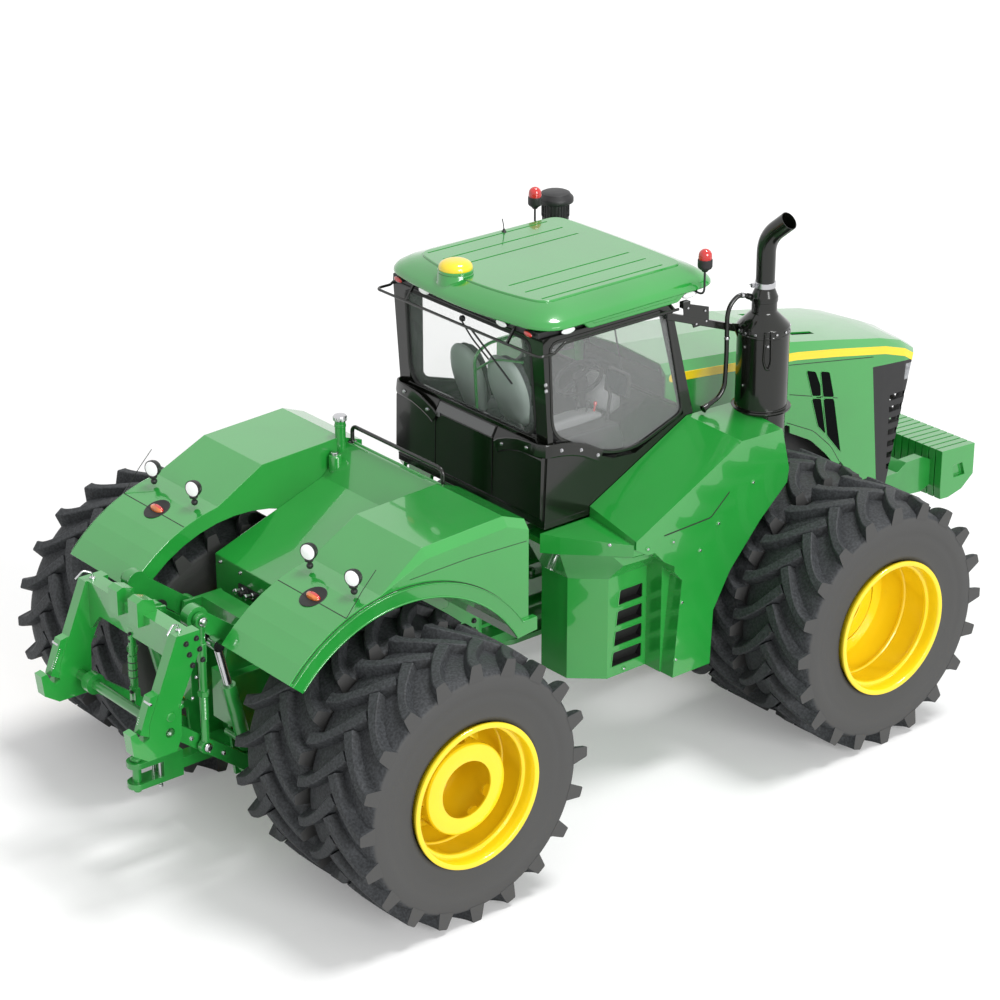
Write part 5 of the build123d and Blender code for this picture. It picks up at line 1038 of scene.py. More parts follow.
ledge_look = Look("ledge grey", (0.16, 0.16, 0.165), 0.38).gloss(0.30, 0.46, 12.0)
M["ledge_grey"] = ledge_look.bump(600.0, 0.15).material
cab_trim()


def wipers():
    """Wiper of the rear window and of the windscreen."""
    shape = Shape()
    arm = [on_rear(31, 3560, 30), on_rear(-120, 3452, 52), on_rear(-300, 3330, 44)]
    shape.tube(curve_points(arm, 0.05, 5), 0.0065, 10)
    shape.tube([on_rear(-60, 3520, 22), on_rear(-538, 3195, 22)], 0.0075, 8)
    shape.turned([(0.0, 0.024), (0.022, 0.024), (0.030, 0.016)], on_rear(31, 3560, 2), (-1, 0, 0), 20)
    front = [on_front(-60, 2705, 8), on_front(-70, 2780, 26), on_front(-90, 2950, 20)]
    shape.tube(curve_points(front, 0.05, 5), 0.0065, 10)
    shape.tube([on_front(-85, 2760, 12), on_front(-120, 3330, 12)], 0.007, 8)
    piece("wipers", shape, "black_plastic", "front", 40.0)


def door_fittings():
    """Door handle on its plate, with the lock."""
    shape = Shape()
    shape.slab([on_door(a, b, 2) for a, b in box_outline(800, 935, 2520, 2600, 20.0, 4)],
               Vector((0, 0.008, 0)))
    shape.tube(curve_points([on_door(822, 2545, 6), on_door(822, 2545, 44), on_door(915, 2545, 44),
                             on_door(915, 2545, 6)], 0.02, 5), 0.009, 10)
    shape.turned([(0, 0.014), (0.008, 0.014), (0.012, 0.011)], on_door(868, 2578, 9), (0, 1, 0), 20)
    piece("door_handle", shape, "black_plastic", "door", 35.0)


wipers()
door_fittings()


# ---------------------------------------------------------------- cab interior
M["shell_grey"] = Look("seat shell", (0.42, 0.50, 0.46), 0.42).vary(0.06, 6.0).bump(700.0, 0.12).material
trim_look = Look("interior trim", (0.26, 0.265, 0.27), 0.55).gloss(0.45, 0.62, 8.0)
M["trim_grey"] = trim_look.bump(900.0, 0.25).material
M["screen"] = Look("screen", (0.02, 0.03, 0.035), 0.08, coat=1.0).vary(0.2, 5.0).material
SEATS = (
    # name, x and y of the back's foot, half width, top of the cushion
    ("operator", 110.0, 0.0, 245.0, 2590.0),
    ("instructor", 90.0, 465.0, 205.0, 2565.0),
)
VOXEL = 0.011
CLOTH_FRAMES = 20
CLOTH_PRESSURE = 4.0
SWELL_CAP = 0.024            # farthest that a point of a cushion moves
BACK_HEIGHT = 0.600
PAD_DEPTH = 0.075


def bake(obj):
    """Turns the modifiers of an object into its mesh."""
    bpy.context.view_layer.update()
    made = bpy.data.meshes.new_from_object(obj.evaluated_get(bpy.context.evaluated_depsgraph_get()))
    obj.modifiers.clear()
    obj.data = made


def blow_up(obj):
    """Swells a closed mesh as cloth under pressure, no point moving farther than SWELL_CAP."""
    rest = [vertex.co.copy() for vertex in obj.data.vertices]
    cloth = obj.modifiers.new("cloth", "CLOTH")
    settings = cloth.settings
    settings.quality = 4
    settings.mass = 0.3
    settings.tension_stiffness = settings.compression_stiffness = settings.shear_stiffness = 15.0
    settings.bending_stiffness = 0.5
    settings.use_pressure = True
    settings.uniform_pressure_force = CLOTH_PRESSURE
    settings.effector_weights.gravity = 0.0
    cloth.point_cache.frame_start, cloth.point_cache.frame_end = 1, CLOTH_FRAMES
    for step in range(1, CLOTH_FRAMES + 1):
        bpy.context.scene.frame_set(step)
    bake(obj)
    bpy.context.scene.frame_set(1)
    for vertex, start in zip(obj.data.vertices, rest):
        move = vertex.co - start
        if move.length > SWELL_CAP:
            vertex.co = start + move * (SWELL_CAP / move.length)


def cushion(name, outline, depth, origin, across, up, channels):
    """Crowned cushion on an outline of (across, up) pairs, sewn along its edge and its channels."""
    out = across.cross(up).normalized()
    middle = sum(outline, Vector((0, 0))) / len(outline)
    rings = []
    for share, scale in ((0.0, 0.84), (0.14, 0.955), (0.5, 1.0), (0.86, 0.955), (1.0, 0.84)):
        rings.append([])
        for point in outline:
            place = middle + (point - middle) * scale
            rings[-1].append(origin + across * place.x + up * place.y + out * depth * share)
    shape = Shape()
    shape.loft(rings)
    obj = piece(name, shape, "seat_fabric", "front", 180.0)
    remesh = obj.modifiers.new("even", "REMESH")
    remesh.mode = "VOXEL"
    remesh.voxel_size = VOXEL
    bake(obj)
    blow_up(obj)
    obj.modifiers.new("smooth", "SUBSURF").levels = 1
    bake(obj)
    for vertex in obj.data.vertices:
        local = vertex.co - origin
        seam = abs(local.dot(out) - depth / 2)
        sew = 0.006 * math.exp(-(seam / 0.006) ** 2)
        if local.dot(out) > depth * 0.6:
            for line in channels:
                off = abs(abs(local.dot(across)) - line[1]) if line[0] == "up" else abs(local.dot(up)
                                                                                        - line[1])
                sew += 0.009 * math.exp(-(off / 0.008) ** 2)
        vertex.co -= vertex.normal * sew
    obj.data.polygons.foreach_set("use_smooth", [True] * len(obj.data.polygons))
    return obj


def leaf(half, height):
    """Outline of a seat back, widest a little above its middle."""
    return rounded_outline([(-half * 0.55, 0.0), (half * 0.55, 0.0), (half, height * 0.55),
                            (half * 0.62, height), (-half * 0.62, height), (-half, height * 0.55)],
                           [0.06, 0.06, 0.20, 0.12, 0.12, 0.20], 8)


def seats():
    """Back, cushion, shell and base of each seat."""
    for name, x, y, half, top in SEATS:
        across, up = Vector((0, 1, 0)), Vector((-0.27, 0, 1)).normalized()
        out = across.cross(up).normalized()
        foot = at(x, y, top - 10)
        back = cushion(f"{name}_seat_back", leaf(half * MM * 0.93, BACK_HEIGHT * 0.94), PAD_DEPTH,
                       foot + out * 0.035 + up * 0.03, across, up,
                       (("up", half * 0.42 * MM), ("across", 0.34)))
        pad = rounded_outline([(-half * MM, 0.0), (half * MM, 0.0), (half * 0.92 * MM, 0.44),
                               (-half * 0.92 * MM, 0.44)],
                              [0.07, 0.07, 0.11, 0.11], 8)
        seat_pad(name, x, y, half, top, pad)
        if name == "operator":
            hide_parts("seats")
        shell = Shape()
        middle = Vector((0, BACK_HEIGHT * 0.5))
        rings = []
        for lift, scale in ((0.030, 0.93), (0.034, 0.99), (0.022, 1.0), (0.000, 0.97), (-0.018, 0.88),
                            (-0.034, 0.70), (-0.044, 0.40), (-0.047, 0.05)):
            rings.append([])
            for point in leaf(half * MM, BACK_HEIGHT):
                place = middle + (point - middle) * scale
                rings[-1].append(foot + across * place.x + up * place.y + out * lift)
        shell.loft(rings)
        piece(f"{name}_seat_shell", shell, "shell_grey", "front", 50.0)
        base = Shape()
        pan = resample(box_outline(x - 45, x + 445, y - half, y + half, 60.0, 6), 48)
        centre = Vector((x + 200, y))
        levels = ((2160, 0.55), (2185, 0.56), (2190, 0.50), (2240, 0.46), (2265, 0.52), (2290, 0.46),
                  (2315, 0.52), (2340, 0.46), (2365, 0.52), (top - 170, 0.50), (top - 150, 0.80),
                  (top - 120, 0.98), (top - 96, 1.0))
        base.loft([[at(*(centre + (point - centre) * scale), z) for point in pan] for z, scale in levels])
        for wide in (-half, half):
            base.tube(curve_points(spots((x + 20, y + wide * 0.5, top - 130),
                                         (x - 10, y + wide * 0.5, top - 60),
                                         (x - 24, y + wide * 0.3, top + 60)), 0.04, 4), 0.014, 10)
        piece(f"{name}_seat_base", base, "trim_grey", "front", 40.0)


def seat_pad(name, x, y, half, top, outline):
    """The seat's cushion, lying on its pan."""
    across, up = Vector((0, -1, 0)), Vector((1, 0, 0))
    cushion(f"{name}_seat_cushion", outline, PAD_DEPTH, at(x - 15, y, top - 90), across, up,
            (("up", half * 0.45 * MM), ("across", 0.26)))


seats()


def controls():
    """Dash pod, armrest controls, monitor on its post and the grab bar in the cab."""
    pod = Shape()
    pod.loft([[at(x, py, pz) for py, pz in
               rounded_outline([(-half, low), (half, low), (half * 0.9, high), (-half * 0.9, high)], 55.0, 5)]
              for x, half, low, high in ((800, 120, 2610, 2700), (840, 175, 2560, 2745),
                                         (960, 205, 2500, 2790), (1040, 190, 2520, 2760),
                                         (1075, 140, 2560, 2700))])
    pod.tube(spots((1060, 0, 2600), (1110, 0, 2450)), 0.05, 16)
    piece("dash_pod", pod, "trim_grey", "front", 45.0)
    arm = Shape()
    arm.loft([[at(x, -400 + py, pz) for py, pz in box_outline(-75, 75, low, high, 30.0, 4)]
              for x, low, high in ((20, 2650, 2690), (60, 2640, 2724), (330, 2640, 2732), (520, 2646, 2716),
                                   (590, 2656, 2690))])
    for index, (x, y) in enumerate(((470, -430), (510, -390), (540, -440), (420, -370))):
        arm.turned([(0, 0.010), (0.045, 0.007), (0.050, 0.014), (0.068, 0.016), (0.078, 0.010)],
                   at(x, y, 2712), (0.2, 0, 1), 14, 1 if index == 2 else 2)
    arm.tube(curve_points(spots((600, -520, 2640), (640, -520, 2860), (640, -470, 2900)), 0.05, 5), 0.014, 10,
             2)
    for outline, x, thick, skin in ((box_outline(-130, 130, 2860, 3050, 18.0, 4), 650, 0.032, 2),
                                    (box_outline(-112, 112, 2878, 3034, 8.0, 3), 647, 0.004, 3)):
        arm.slab([at(x + 0.12 * (pz - 2860), -560 + py, pz) for py, pz in outline], Vector((thick, 0, 0)),
                 skin)
    piece("armrest_controls", arm, ["trim_grey", "red_lens", "black_plastic", "screen"], "front",
          40.0)
    bar = Shape()
    bar.tube(curve_points(spots((-60, 255, 2560), (-90, 255, 3120), (40, 255, 3190), (620, 255, 3190)), 0.09,
                          6),
             0.013, 12)
    bar.tube(curve_points(spots((-70, 255, 3000), (-70, 40, 3150), (20, -200, 3170)), 0.09, 6), 0.010, 10)
    piece("cab_grab_bar", bar, "frame_green", "front", 40.0)


controls()


# ---------------------------------------------------------------- hood
VENT = Look("vent mesh", (0.005, 0.006, 0.006), 0.95, specular=0.04).bump(1500.0, 0.6, 0.002, 1.0)
M["vent_mesh"] = VENT.material
HEADLAMP = Look("headlamp glass", (0.30, 0.31, 0.33), 0.12, coat=1.0, metallic=0.6).vary(0.35, 26.0)
HEADLAMP.bump(90.0, 0.3)
M["headlamp_glass"] = HEADLAMP.material
HOOD_SIDE_Y = 550.0
# outlines on the side panel, (x, z)
VENTS = (
    ((2768, 2529), (2872, 2493), (2934, 2358), (2946, 2262), (2848, 2288)),
    ((2845, 2262), (2948, 2236), (3020, 1905), (2930, 2000)),
    ((2934, 2481), (3036, 2450), (3102, 2214), (2977, 2248)),
    ((2979, 2229), (3103, 2196), (3213, 1690), (3044, 1886)),
)
SEAMS = (
    ((2578, 2366), (3150, 2192)),
    ((2560, 2628), (3000, 2553), (3560, 2457)),
    ((2560, 2122), (2878, 1967), (3094, 1773), (3223, 1581), (3330, 1400)),
)
ARCH_EDGE = ((2593, 2105), (2878, 1967), (3094, 1773), (3223, 1581))
ARCH_LIP = ((2600, 2020), (2850, 1890), (3050, 1706), (3172, 1560))
TOP_SLOT = ((2800, 254), (2800, 330), (3080, 330), (3080, 254))


def hood_side(sign, a, b, out=0.0):
    """Point on the flat side of the hood."""
    return at(a, sign * (HOOD_SIDE_Y + out), b)


def hood_top(x, y, lift):
    """Point above or below the hood where a plumb line meets it."""
    hood = NODES["hood"]
    inverse = hood.matrix_world.inverted()
    found = hood.ray_cast(inverse @ at(x, y, 4000), inverse.to_3x3() @ Vector((0, 0, -1)))
    return hood.matrix_world @ found[1] + Vector((0, 0, lift * MM))


def hood_trim():
    """Louvre pockets with their lips, panel seams, slot linings and the lips over the arches."""
    vents, lips, seams = Shape(), Shape(), Shape()
    for sign in SIGNS:
        for corners in VENTS:
            clear = resample(rounded_outline(corners, 14.0, 5), 48)
            vents.slab([hood_side(sign, *p, 0.4) for p in clear], Vector((0, sign * 0.0012, 0)))
            rings = [grown(clear, gap) for gap in (9.0, 8.0, 2.0, 0.0)]
            lips.loft([[hood_side(sign, *p, out) for p in ring]
                       for ring, out in zip(rings, (0.0, 3.0, 3.5, 0.6))], caps=False)
        for path in SEAMS:
            points = [hood_side(sign, *p) for p in path]
            strip(seams, curve_points(points, 0.05, 4), Vector((0, sign, 0)), 0.0032, 0.0011)
        vents.slab([hood_top(x, sign * y, -15.5) for x, y in TOP_SLOT], Vector((0, 0, -0.0012)))
    piece("hood_vents", vents, "vent_mesh", "hood_panel", 30.0)
    piece("hood_vent_lips", lips, "green", "hood_panel", 50.0)
    piece("hood_seams", seams, "rubber", "hood_panel", 30.0)
    arch = Shape()
    for sign in SIGNS:
        upper = curve_points([at(x, 0, z + 14) for x, z in ARCH_EDGE], 0.05, 4)
        lower = curve_points([at(x, 0, z) for x, z in ARCH_LIP], 0.05, 4)
        count = min(len(upper), len(lower))
        rings = []
        for index in range(count):
            high = upper[index * (len(upper) - 1) // (count - 1)]
            low = lower[index * (len(lower) - 1) // (count - 1)]
            outer, inner = at(0, sign * 550.6, 0).y, at(0, sign * 538, 0).y
            rings.append([Vector((high.x, outer, high.z)), Vector((low.x, outer, low.z + 0.004)),
                          Vector((low.x, outer - sign * 0.003, low.z)), Vector((low.x, inner, low.z + 0.002)),
                          Vector((high.x, inner, high.z))])
        arch.loft(rings)
    piece("hood_arch_lips", arch, "green", "hood_panel", 40.0)


def headlamps():
    """Grey reflector glass of the headlamps."""
    NODES["headlamps"].data.materials[0] = M["headlamp_glass"]
    soften(NODES["headlamps"], 0.004)


hood_trim()
headlamps()


# ---------------------------------------------------------------- right tank
LOUVRE_ROWS = tuple((880.0 + index * 172.0, 998.0 + index * 172.0) for index in range(4))


TANK_BOLTS = ((216, -1440, 1980), (476, -1440, 1965), (761, -1440, 1811), (949, -1440, 1985),
              (1307, -1440, 2231), (584, -1440, 1422), (533, -1440, 946), (275, -1128, 829))


def tank_trim():
    """Grooves, frames and bolts of the right tank."""
    dark, frames = Shape(), Shape()
    for z_low, z_high in LOUVRE_ROWS:
        low_x, high_x = 150 + (z_low - 880) * 0.12, 150 + (z_high - 880) * 0.12
        dark.slab(spots((low_x, -1060, z_low), (455, -1060, z_low), (455, -1117.5, z_high - 0.5),
                        (high_x, -1117.5, z_high - 0.5)), Vector((0, -0.002, 0)))
        dark.slab(spots((low_x + 1, -1126, z_low + 0.5), (454, -1126, z_low + 0.5), (454, -1062, z_low + 0.5),
                        (low_x + 1, -1062, z_low + 0.5)), Vector((0, 0, 0.001)))
        dark.slab(spots((454.5, -1126, z_low + 2), (454.5, -1063, z_low + 2), (454.5, -1117, z_high - 2),
                        (454.5, -1126, z_high - 2)), Vector((-0.001, 0, 0)))
        hole = resample([Vector(p) for p in ((low_x, z_low), (455, z_low), (455, z_high), (high_x, z_high))],
                        40)
        rings = (grown(hole, 12.0), grown(hole, 10.0), grown(hole, 1.5), grown(hole, 0.5))
        frames.loft([[at(a, -1128 - out, b) for a, b in ring]
                     for ring, out in zip(rings, (-0.5, 3.0, 3.5, -4.0))], caps=False)
    piece("louvre_shadow", dark, "rubber", "front", 30.0)
    piece("louvre_frames", frames, "green", "front", 30.0)
    slit = Shape()
    groove = curve_points([at(x, -1441, z) for x, z in ((386, 2040), (869, 2056), (1059, 2218))], 0.03, 5)
    strip(slit, groove, Vector((0, -1, 0)), 0.005, 0.0008)
    piece("tank_seams", slit, "rubber", "front", 30.0)
    out = Vector((0, -1, 0))
    places = [at(*spot) for spot in TANK_BOLTS]
    bolts("tank_bolts", places, out, 0.020, "front", washer=False)
    washers = Shape()
    for place in places:
        washers.turned([(0.0, 0.021), (0.003, 0.021), (0.0045, 0.018), (0.0046, 0.008)], place, out, 24)
    piece("tank_washers", washers, "green", "front", 35.0)
    slant = Vector((-0.70, -0.72, 0)).normalized()
    rim = [at(-230 + share * 300, -1096 - share * 292, 2040 - share * 10) for share in (0.66,)]
    bolts("tray_bolts", [point + slant * 0.002 for point in rim], slant, 0.018, "front")


tank_trim()


# ---------------------------------------------------------------- left platform
def platform_trim():
    """Raised tread bars on the steps and two grab rails beside them."""
    treads = Shape()
    for level in range(5):
        top = 560.0 + level * 300.0
        for row in range(9):
            x = 205.0 + row * 69.0
            treads.slab(spots((x, 1160, top), (x + 26, 1160, top), (x + 26, 1430, top), (x, 1430, top)),
                        Vector((0, 0, 0.004)))
    piece("step_treads", treads, "frame_green", "front", 30.0, bevel=0.001)
    rails = Shape()
    for x in (165.0, 790.0):
        rails.tube(curve_points(spots((x, 1440, 820), (x, 1478, 880), (x, 1478, 1420), (x, 1478, 1960),
                                      (x, 1440, 2020)), 0.08, 6), 0.013, 12)
    piece("step_rails", rails, "black_paint", "front", 40.0)


platform_trim()


# ---------------------------------------------------------------- rear fenders
def guard(radius, angle, y):
    """Point on a fender's arc."""
    turn = math.radians(angle)
    return at(-AXLE_X + radius * math.cos(turn), y, AXLE_Z + radius * math.sin(turn))


def fender_trim():
    """Seams and edge beads of the four fenders."""
    for sign, side in SIDES:
        seams = Shape()
        arc = [guard(1313, 36 + step * 102 / 40, sign * 1416) for step in range(41)]
        strip(seams, arc, Vector((0, sign, 0)), 0.0035, 0.001)
        strip(seams, [guard(1330, 112, sign * 1416), guard(1450, 104, sign * 1416),
                      guard(1545, 98.6, sign * 1416)],
              Vector((0, sign, 0)), 0.003, 0.001)
        over = [guard(1330.4, angle, sign * y) for angle, y in ((112, 1416), (112, 1100), (112, 600))]
        strip(seams, over, Vector((math.cos(math.radians(112)), 0, math.sin(math.radians(112)))), 0.0035,
              0.001)
        strip(seams, spots((-960, sign * 1416, 2380), (-1500, sign * 1416, 2400), (-2040, sign * 1416, 2390)),
              Vector((0, sign, 0)), 0.0025, 0.001)
        piece(f"fender_seams_{side}", seams, "rubber", "rear", 30.0)
        flange = Shape()
        bead = [guard(1206, 31 + step * 107 / 48, sign * 1446) for step in range(49)]
        flange.tube(bead, 0.007, 10)
        bead = [guard(1308, 34 + step * 104 / 48, sign * 1445) for step in range(49)]
        flange.tube(bead, 0.004, 8)
        piece(f"fender_lip_{side}", flange, "green", "rear", 60.0)


def work_lamps():
    """Round lamps on ball feet over the mudguards."""
    shape = Shape()
    for sign in SIGNS:
        for x, y, z in ((-2419, 732, 2481), (-2427, 1269, 2471)):
            axis = Vector((-0.88, sign * (-0.30 if sign > 0 else 0.34), 0.05)).normalized()
            centre = at(x, sign * y, z)
            shape.turned([(-0.062, 0.004), (-0.060, 0.022), (-0.050, 0.042), (-0.034, 0.056), (-0.012, 0.064),
                          (0.010, 0.066), (0.016, 0.066), (0.018, 0.060)], centre, axis, 40, 1)
            shape.turned([(0.012, 0.060), (0.018, 0.058), (0.022, 0.045), (0.025, 0.022), (0.026, 0.002)],
                         centre, axis,
                         40, 0)
            foot = at(x + 6, sign * y, 2352 if abs(y) > 1000 else 2356)
            shape.tube([foot, centre + Vector((0, 0, -0.060))], 0.013, 12, 1)
            shape.ball(foot + Vector((0, 0, 0.012)), 0.026, 18, 1)
            shape.turned([(-0.075, 0.030), (-0.062, 0.034), (-0.056, 0.030)], centre, UP, 20, 1)
    piece("fender_work_lamps", shape, ["white_lens", "black_plastic"], "rear", 45.0,
          replaces=["fender_lamps"])


def markers():
    """Oval marker lamps, amber above and red below, in dark-edged round pockets."""
    shape, rims_shape = Shape(), Shape()
    angle = 111.0
    outward = Vector((math.cos(math.radians(angle)), 0, math.sin(math.radians(angle))))
    down = Vector((0, 1, 0)).cross(outward)
    for sign in SIGNS:
        floor = guard(1330 - 45, angle, sign * 996)
        for share, skin in ((-1, 0), (1, 1)):
            rings = []
            for lift, scale in ((0.0, 0.92), (0.040, 1.0), (0.056, 0.94), (0.066, 0.75), (0.070, 0.35),
                                (0.071, 0.03)):
                ring = []
                for step in range(25):
                    turn = math.pi * step / 24
                    long = math.cos(turn) * 0.075 * scale
                    wide = math.sin(turn) ** 0.8 * 0.032 * scale * share
                    ring.append(floor + outward * lift + Vector((0, 1, 0)) * long + down * wide)
                rings.append(ring)
            shape.loft(rings, skin)
        rims_shape.turned([(0.0446, 0.0975), (0.0470, 0.101), (0.0455, 0.104), (0.0440, 0.106)], floor,
                          outward, 48)
    piece("marker_lenses", shape, ["amber_lens", "red_lens"], "rear", 40.0,
          replaces=["marker_lamps"])
    piece("marker_rims", rims_shape, "rubber", "rear", 40.0)


def filler():
    """Filler neck and cap on the tank."""
    shape = Shape()
    foot = at(-1140, 600, 0)
    shape.turned([(2.440, 0.042), (2.690, 0.042), (2.694, 0.046), (2.712, 0.046), (2.716, 0.042),
                  (2.742, 0.042)], foot,
                 UP, 40, 0)
    cap = [(2.742, 0.044), (2.746, 0.052), (2.778, 0.053), (2.786, 0.048), (2.790, 0.030), (2.790, 0.002)]
    shape.turned(cap, foot, UP, 40, 1)
    for step in range(16):
        turn = 2 * math.pi * step / 16
        out = Vector((math.cos(turn), math.sin(turn), 0)) * 0.0525
        shape.tube([foot + out + Vector((0, 0, 2.750)), foot + out + Vector((0, 0, 2.776))], 0.0035, 6, 1)
    sleeve = at(-1240, 540, 0)
    shape.turned([(2.300, 0.050), (2.488, 0.050), (2.498, 0.046), (2.502, 0.030)], sleeve, UP, 40, 0)
    shape.turned([(2.500, 0.030), (2.520, 0.030), (2.526, 0.024), (2.527, 0.002)], sleeve, UP, 32, 1)
    piece("filler_neck", shape, ["green", "steel"], "rear", 35.0, replaces=["fuel_filler"])


def deck_trim():
    """Couplings, plates and bolts of the deck behind the cab."""
    shape = Shape()
    path = spots((-1052, -588, 2556), (-1052, 588, 2556))
    shape.tube(path, 0.010, 12)
    for y in (-560.0, 560.0):
        shape.turned([(0, 0.034), (0.006, 0.034), (0.008, 0.018), (0.016, 0.017)], at(-1055, y, 2555), UP, 24,
                     1)
    piece("deck_edge", shape, ["green", "black_paint"], "rear", 40.0)
    soften(NODES["deck_rail"], 0.001)
    places = [at(-2343, y, z) for y in (-520, -260, 260, 520) for z in (1930, 1620)]
    bolts("deck_bolts", places, Vector((-1, 0, 0)), 0.022, "rear")


fender_trim()
work_lamps()
markers()
filler()
deck_trim()


# ---------------------------------------------------------------- hitch fittings
BALL_X, BALL_Z = -3600.0, 1380.0
HITCH_PIN_X, HITCH_PIN_Z = -2750.0, 720.0


def coupler_fittings():
    """Fittings of the quick coupler."""
    black, silver, green = Shape(), Shape(), Shape()
    for sign in SIGNS:
        out = Vector((0, sign, 0))
        for row in range(3):
            for column in range(2):
                black.bolt(at(-3434 + row * 23 + column * 88, sign * 640, 2029 - row * 91 + column * 18), out,
                           0.030)
        for x, z, across in ((-3591, 1503, 0.034), (-3500, 1560, 0.018)):
            green.turned([(0, across), (0.008, across), (0.012, across * 0.85), (0.012, across * 0.4)],
                         at(x, sign * 640, z), out, 28)
        # latch spring and its pin in the open jaw
        spring = []
        for step in range(120):
            turn = 2 * math.pi * step / 12
            spring.append(at(-3745 - 70 * step / 119 + 13 * math.cos(turn), sign * 566 + 13 * math.sin(turn),
                             1640 - 150 * step / 119))
        silver.tube(spring, 0.003, 6)
        silver.turned([(-0.030, 0.012), (0.046, 0.012), (0.050, 0.009)], at(-3752, sign * 600, 1655), out, 18)
        # bent lever on the end of the beam
        lever = spots((-3440, sign * 560, 2104), (-3440, sign * 560, 2150), (-3500, sign * 585, 2176),
                      (-3560, sign * 600, 2120))
        silver.tube(curve_points(lever, 0.02, 5), 0.0085, 10)
        silver.turned([(0, 0.022), (0.012, 0.022), (0.016, 0.016)], at(-3440, sign * 560, 2104), UP, 20)
        for x, z in ((-3400, 1590), (-3360, 1745)):
            silver.bolt(at(x, sign * 640, z), out, 0.020)
        # eyes of the lower balls
        silver.turned([(0, 0.037), (0.006, 0.037), (0.010, 0.030), (0.010, 0.010)],
                      at(BALL_X, sign * 575, BALL_Z), out, 32)
    for z in (1830, 1880, 1330, 1420):
        black.bolt(at(-3494 if z > 1500 else -3502, 0, z), Vector((-1, 0, 0)), 0.026)
    for z in (1540, 1600, 1660):
        black.turned([(-0.004, 0.0345), (0.0, 0.0375), (0.004, 0.0345)], at(-3485, 0, z), UP, 24)
    piece("coupler_bosses", green, "frame_green", "quick_coupler_body", 35.0)
    piece("coupler_bolts", black, "black_plastic", "quick_coupler_body", 30.0)
    piece("coupler_levers", silver, "steel", "quick_coupler_body", 40.0)


def link_fittings():
    """Pins, plates and bolts of the hitch links."""
    arms, links = Shape(), Shape()
    ax, az = (BALL_X - HITCH_PIN_X) * 0.52, (BALL_Z - HITCH_PIN_Z) * 0.52
    for sign in SIGNS:
        out = Vector((0, sign, 0))
        for shape, z in ((arms, HITCH_PIN_Z + 1010.0), (links, HITCH_PIN_Z)):
            end = at(HITCH_PIN_X + ax, sign * 500, z + az)
            shape.turned([(-0.002, 0.034), (0.006, 0.034), (0.010, 0.028), (0.022, 0.020), (0.024, 0.008)],
                         end, out, 24)
            shape.tube([end + Vector((0, sign * 0.014, 0.030)), end + Vector((0, sign * 0.014, -0.036))],
                       0.0035, 8)
        # bolts on the side of the lower link
        for share in (0.30, 0.62, 0.78):
            links.bolt(at(HITCH_PIN_X + (BALL_X - HITCH_PIN_X) * share, sign * 410,
                          HITCH_PIN_Z + (BALL_Z - HITCH_PIN_Z) * share), out, 0.026)
    piece("lift_arm_pins", arms, "steel", "lift_arms_body", 35.0)
    piece("lower_link_pins", links, "steel", "lower_links_body", 35.0)
    rods = Shape()
    for sign in SIGNS:
        y = sign * 465
        top = at(HITCH_PIN_X + ax, y, HITCH_PIN_Z + 1010 + az)
        for level in range(16):
            z = -0.62 - level * 0.011
            rods.turned([(z, 0.0302), (z + 0.0055, 0.0328), (z + 0.011, 0.0302)], top, UP, 24)
        rods.turned([(-0.600, 0.0300), (-0.598, 0.044), (-0.560, 0.044), (-0.558, 0.0300)], top, UP, 6)
        rods.turned([(-0.330, 0.0300), (-0.326, 0.037), (-0.180, 0.037), (-0.176, 0.0300)], top, UP, 28)
    piece("lift_rod_collars", rods, "frame_green", "lift_rods_body", 35.0)


def tower_fittings():
    """Bolts and plates of the hitch towers."""
    black, silver = Shape(), Shape()
    for sign in SIGNS:
        out = Vector((0, sign, 0))
        for x, z in ((-3029, 1846), (-2750, 720), (-2750, 1730)):
            black.turned([(0, 0.055), (0.010, 0.055), (0.014, 0.046), (0.014, 0.020)],
                         at(x, sign * (300 if x < -3000 else 302), z),
                         out, 28)
        for x in (-2300, -1700, -1100, -620):
            for z in (1240, 1420):
                black.bolt(at(x, sign * 380, z), out, 0.032)
    for y in (-46, 46):
        silver.turned([(0.600, 0.018), (0.618, 0.018), (0.622, 0.013), (0.866, 0.013), (0.868, 0.020),
                       (0.884, 0.020), (0.888, 0.013)], at(-3328, y, 0), UP, 20)
    pin = Shape()
    pin.turned([(0.600, 0.028), (0.612, 0.030), (0.616, 0.0335), (0.862, 0.0335), (0.866, 0.046),
                (0.878, 0.046), (0.882, 0.036)], at(-3500, 0, 0), UP, 28)
    piece("drawbar_tip_pin", pin, "frame_green", "rear", 35.0)
    piece("frame_bolts_rear", black, "black_plastic", "rear", 30.0)
    piece("drawbar_pins", silver, "steel", "rear", 35.0)
    front = Shape()
    for sign in SIGNS:
        for x in (800, 1350, 2600, 3200, 3600):
            for z in (1240, 1420):
                front.bolt(at(x, sign * 380, z), Vector((0, sign, 0)), 0.032)
    piece("frame_bolts_front", front, "black_plastic", "front", 30.0)


def hoses():
    """Hydraulic couplings on the rear of the deck above the hitch."""
    shape = Shape()
    for index, y in enumerate((-230, -165, -100, 100, 165, 230)):
        shape.turned([(0.0, 0.026), (0.018, 0.026), (0.022, 0.020), (0.060, 0.020), (0.064, 0.024),
                      (0.078, 0.024), (0.084, 0.018)], at(-2343, y, 1800), (-1, 0, 0.15), 20, index % 2)
    shape.slab([at(-2344, a, b) for a, b in rounded_outline([(-280, 1755), (280, 1755), (280, 1845),
                                                             (-280, 1845)],
                                                            14.0, 4)], Vector((-0.010, 0, 0)), 0)
    piece("rear_couplings", shape, ["black_plastic", "steel"], "rear", 35.0)


coupler_fittings()
link_fittings()
tower_fittings()
hoses()


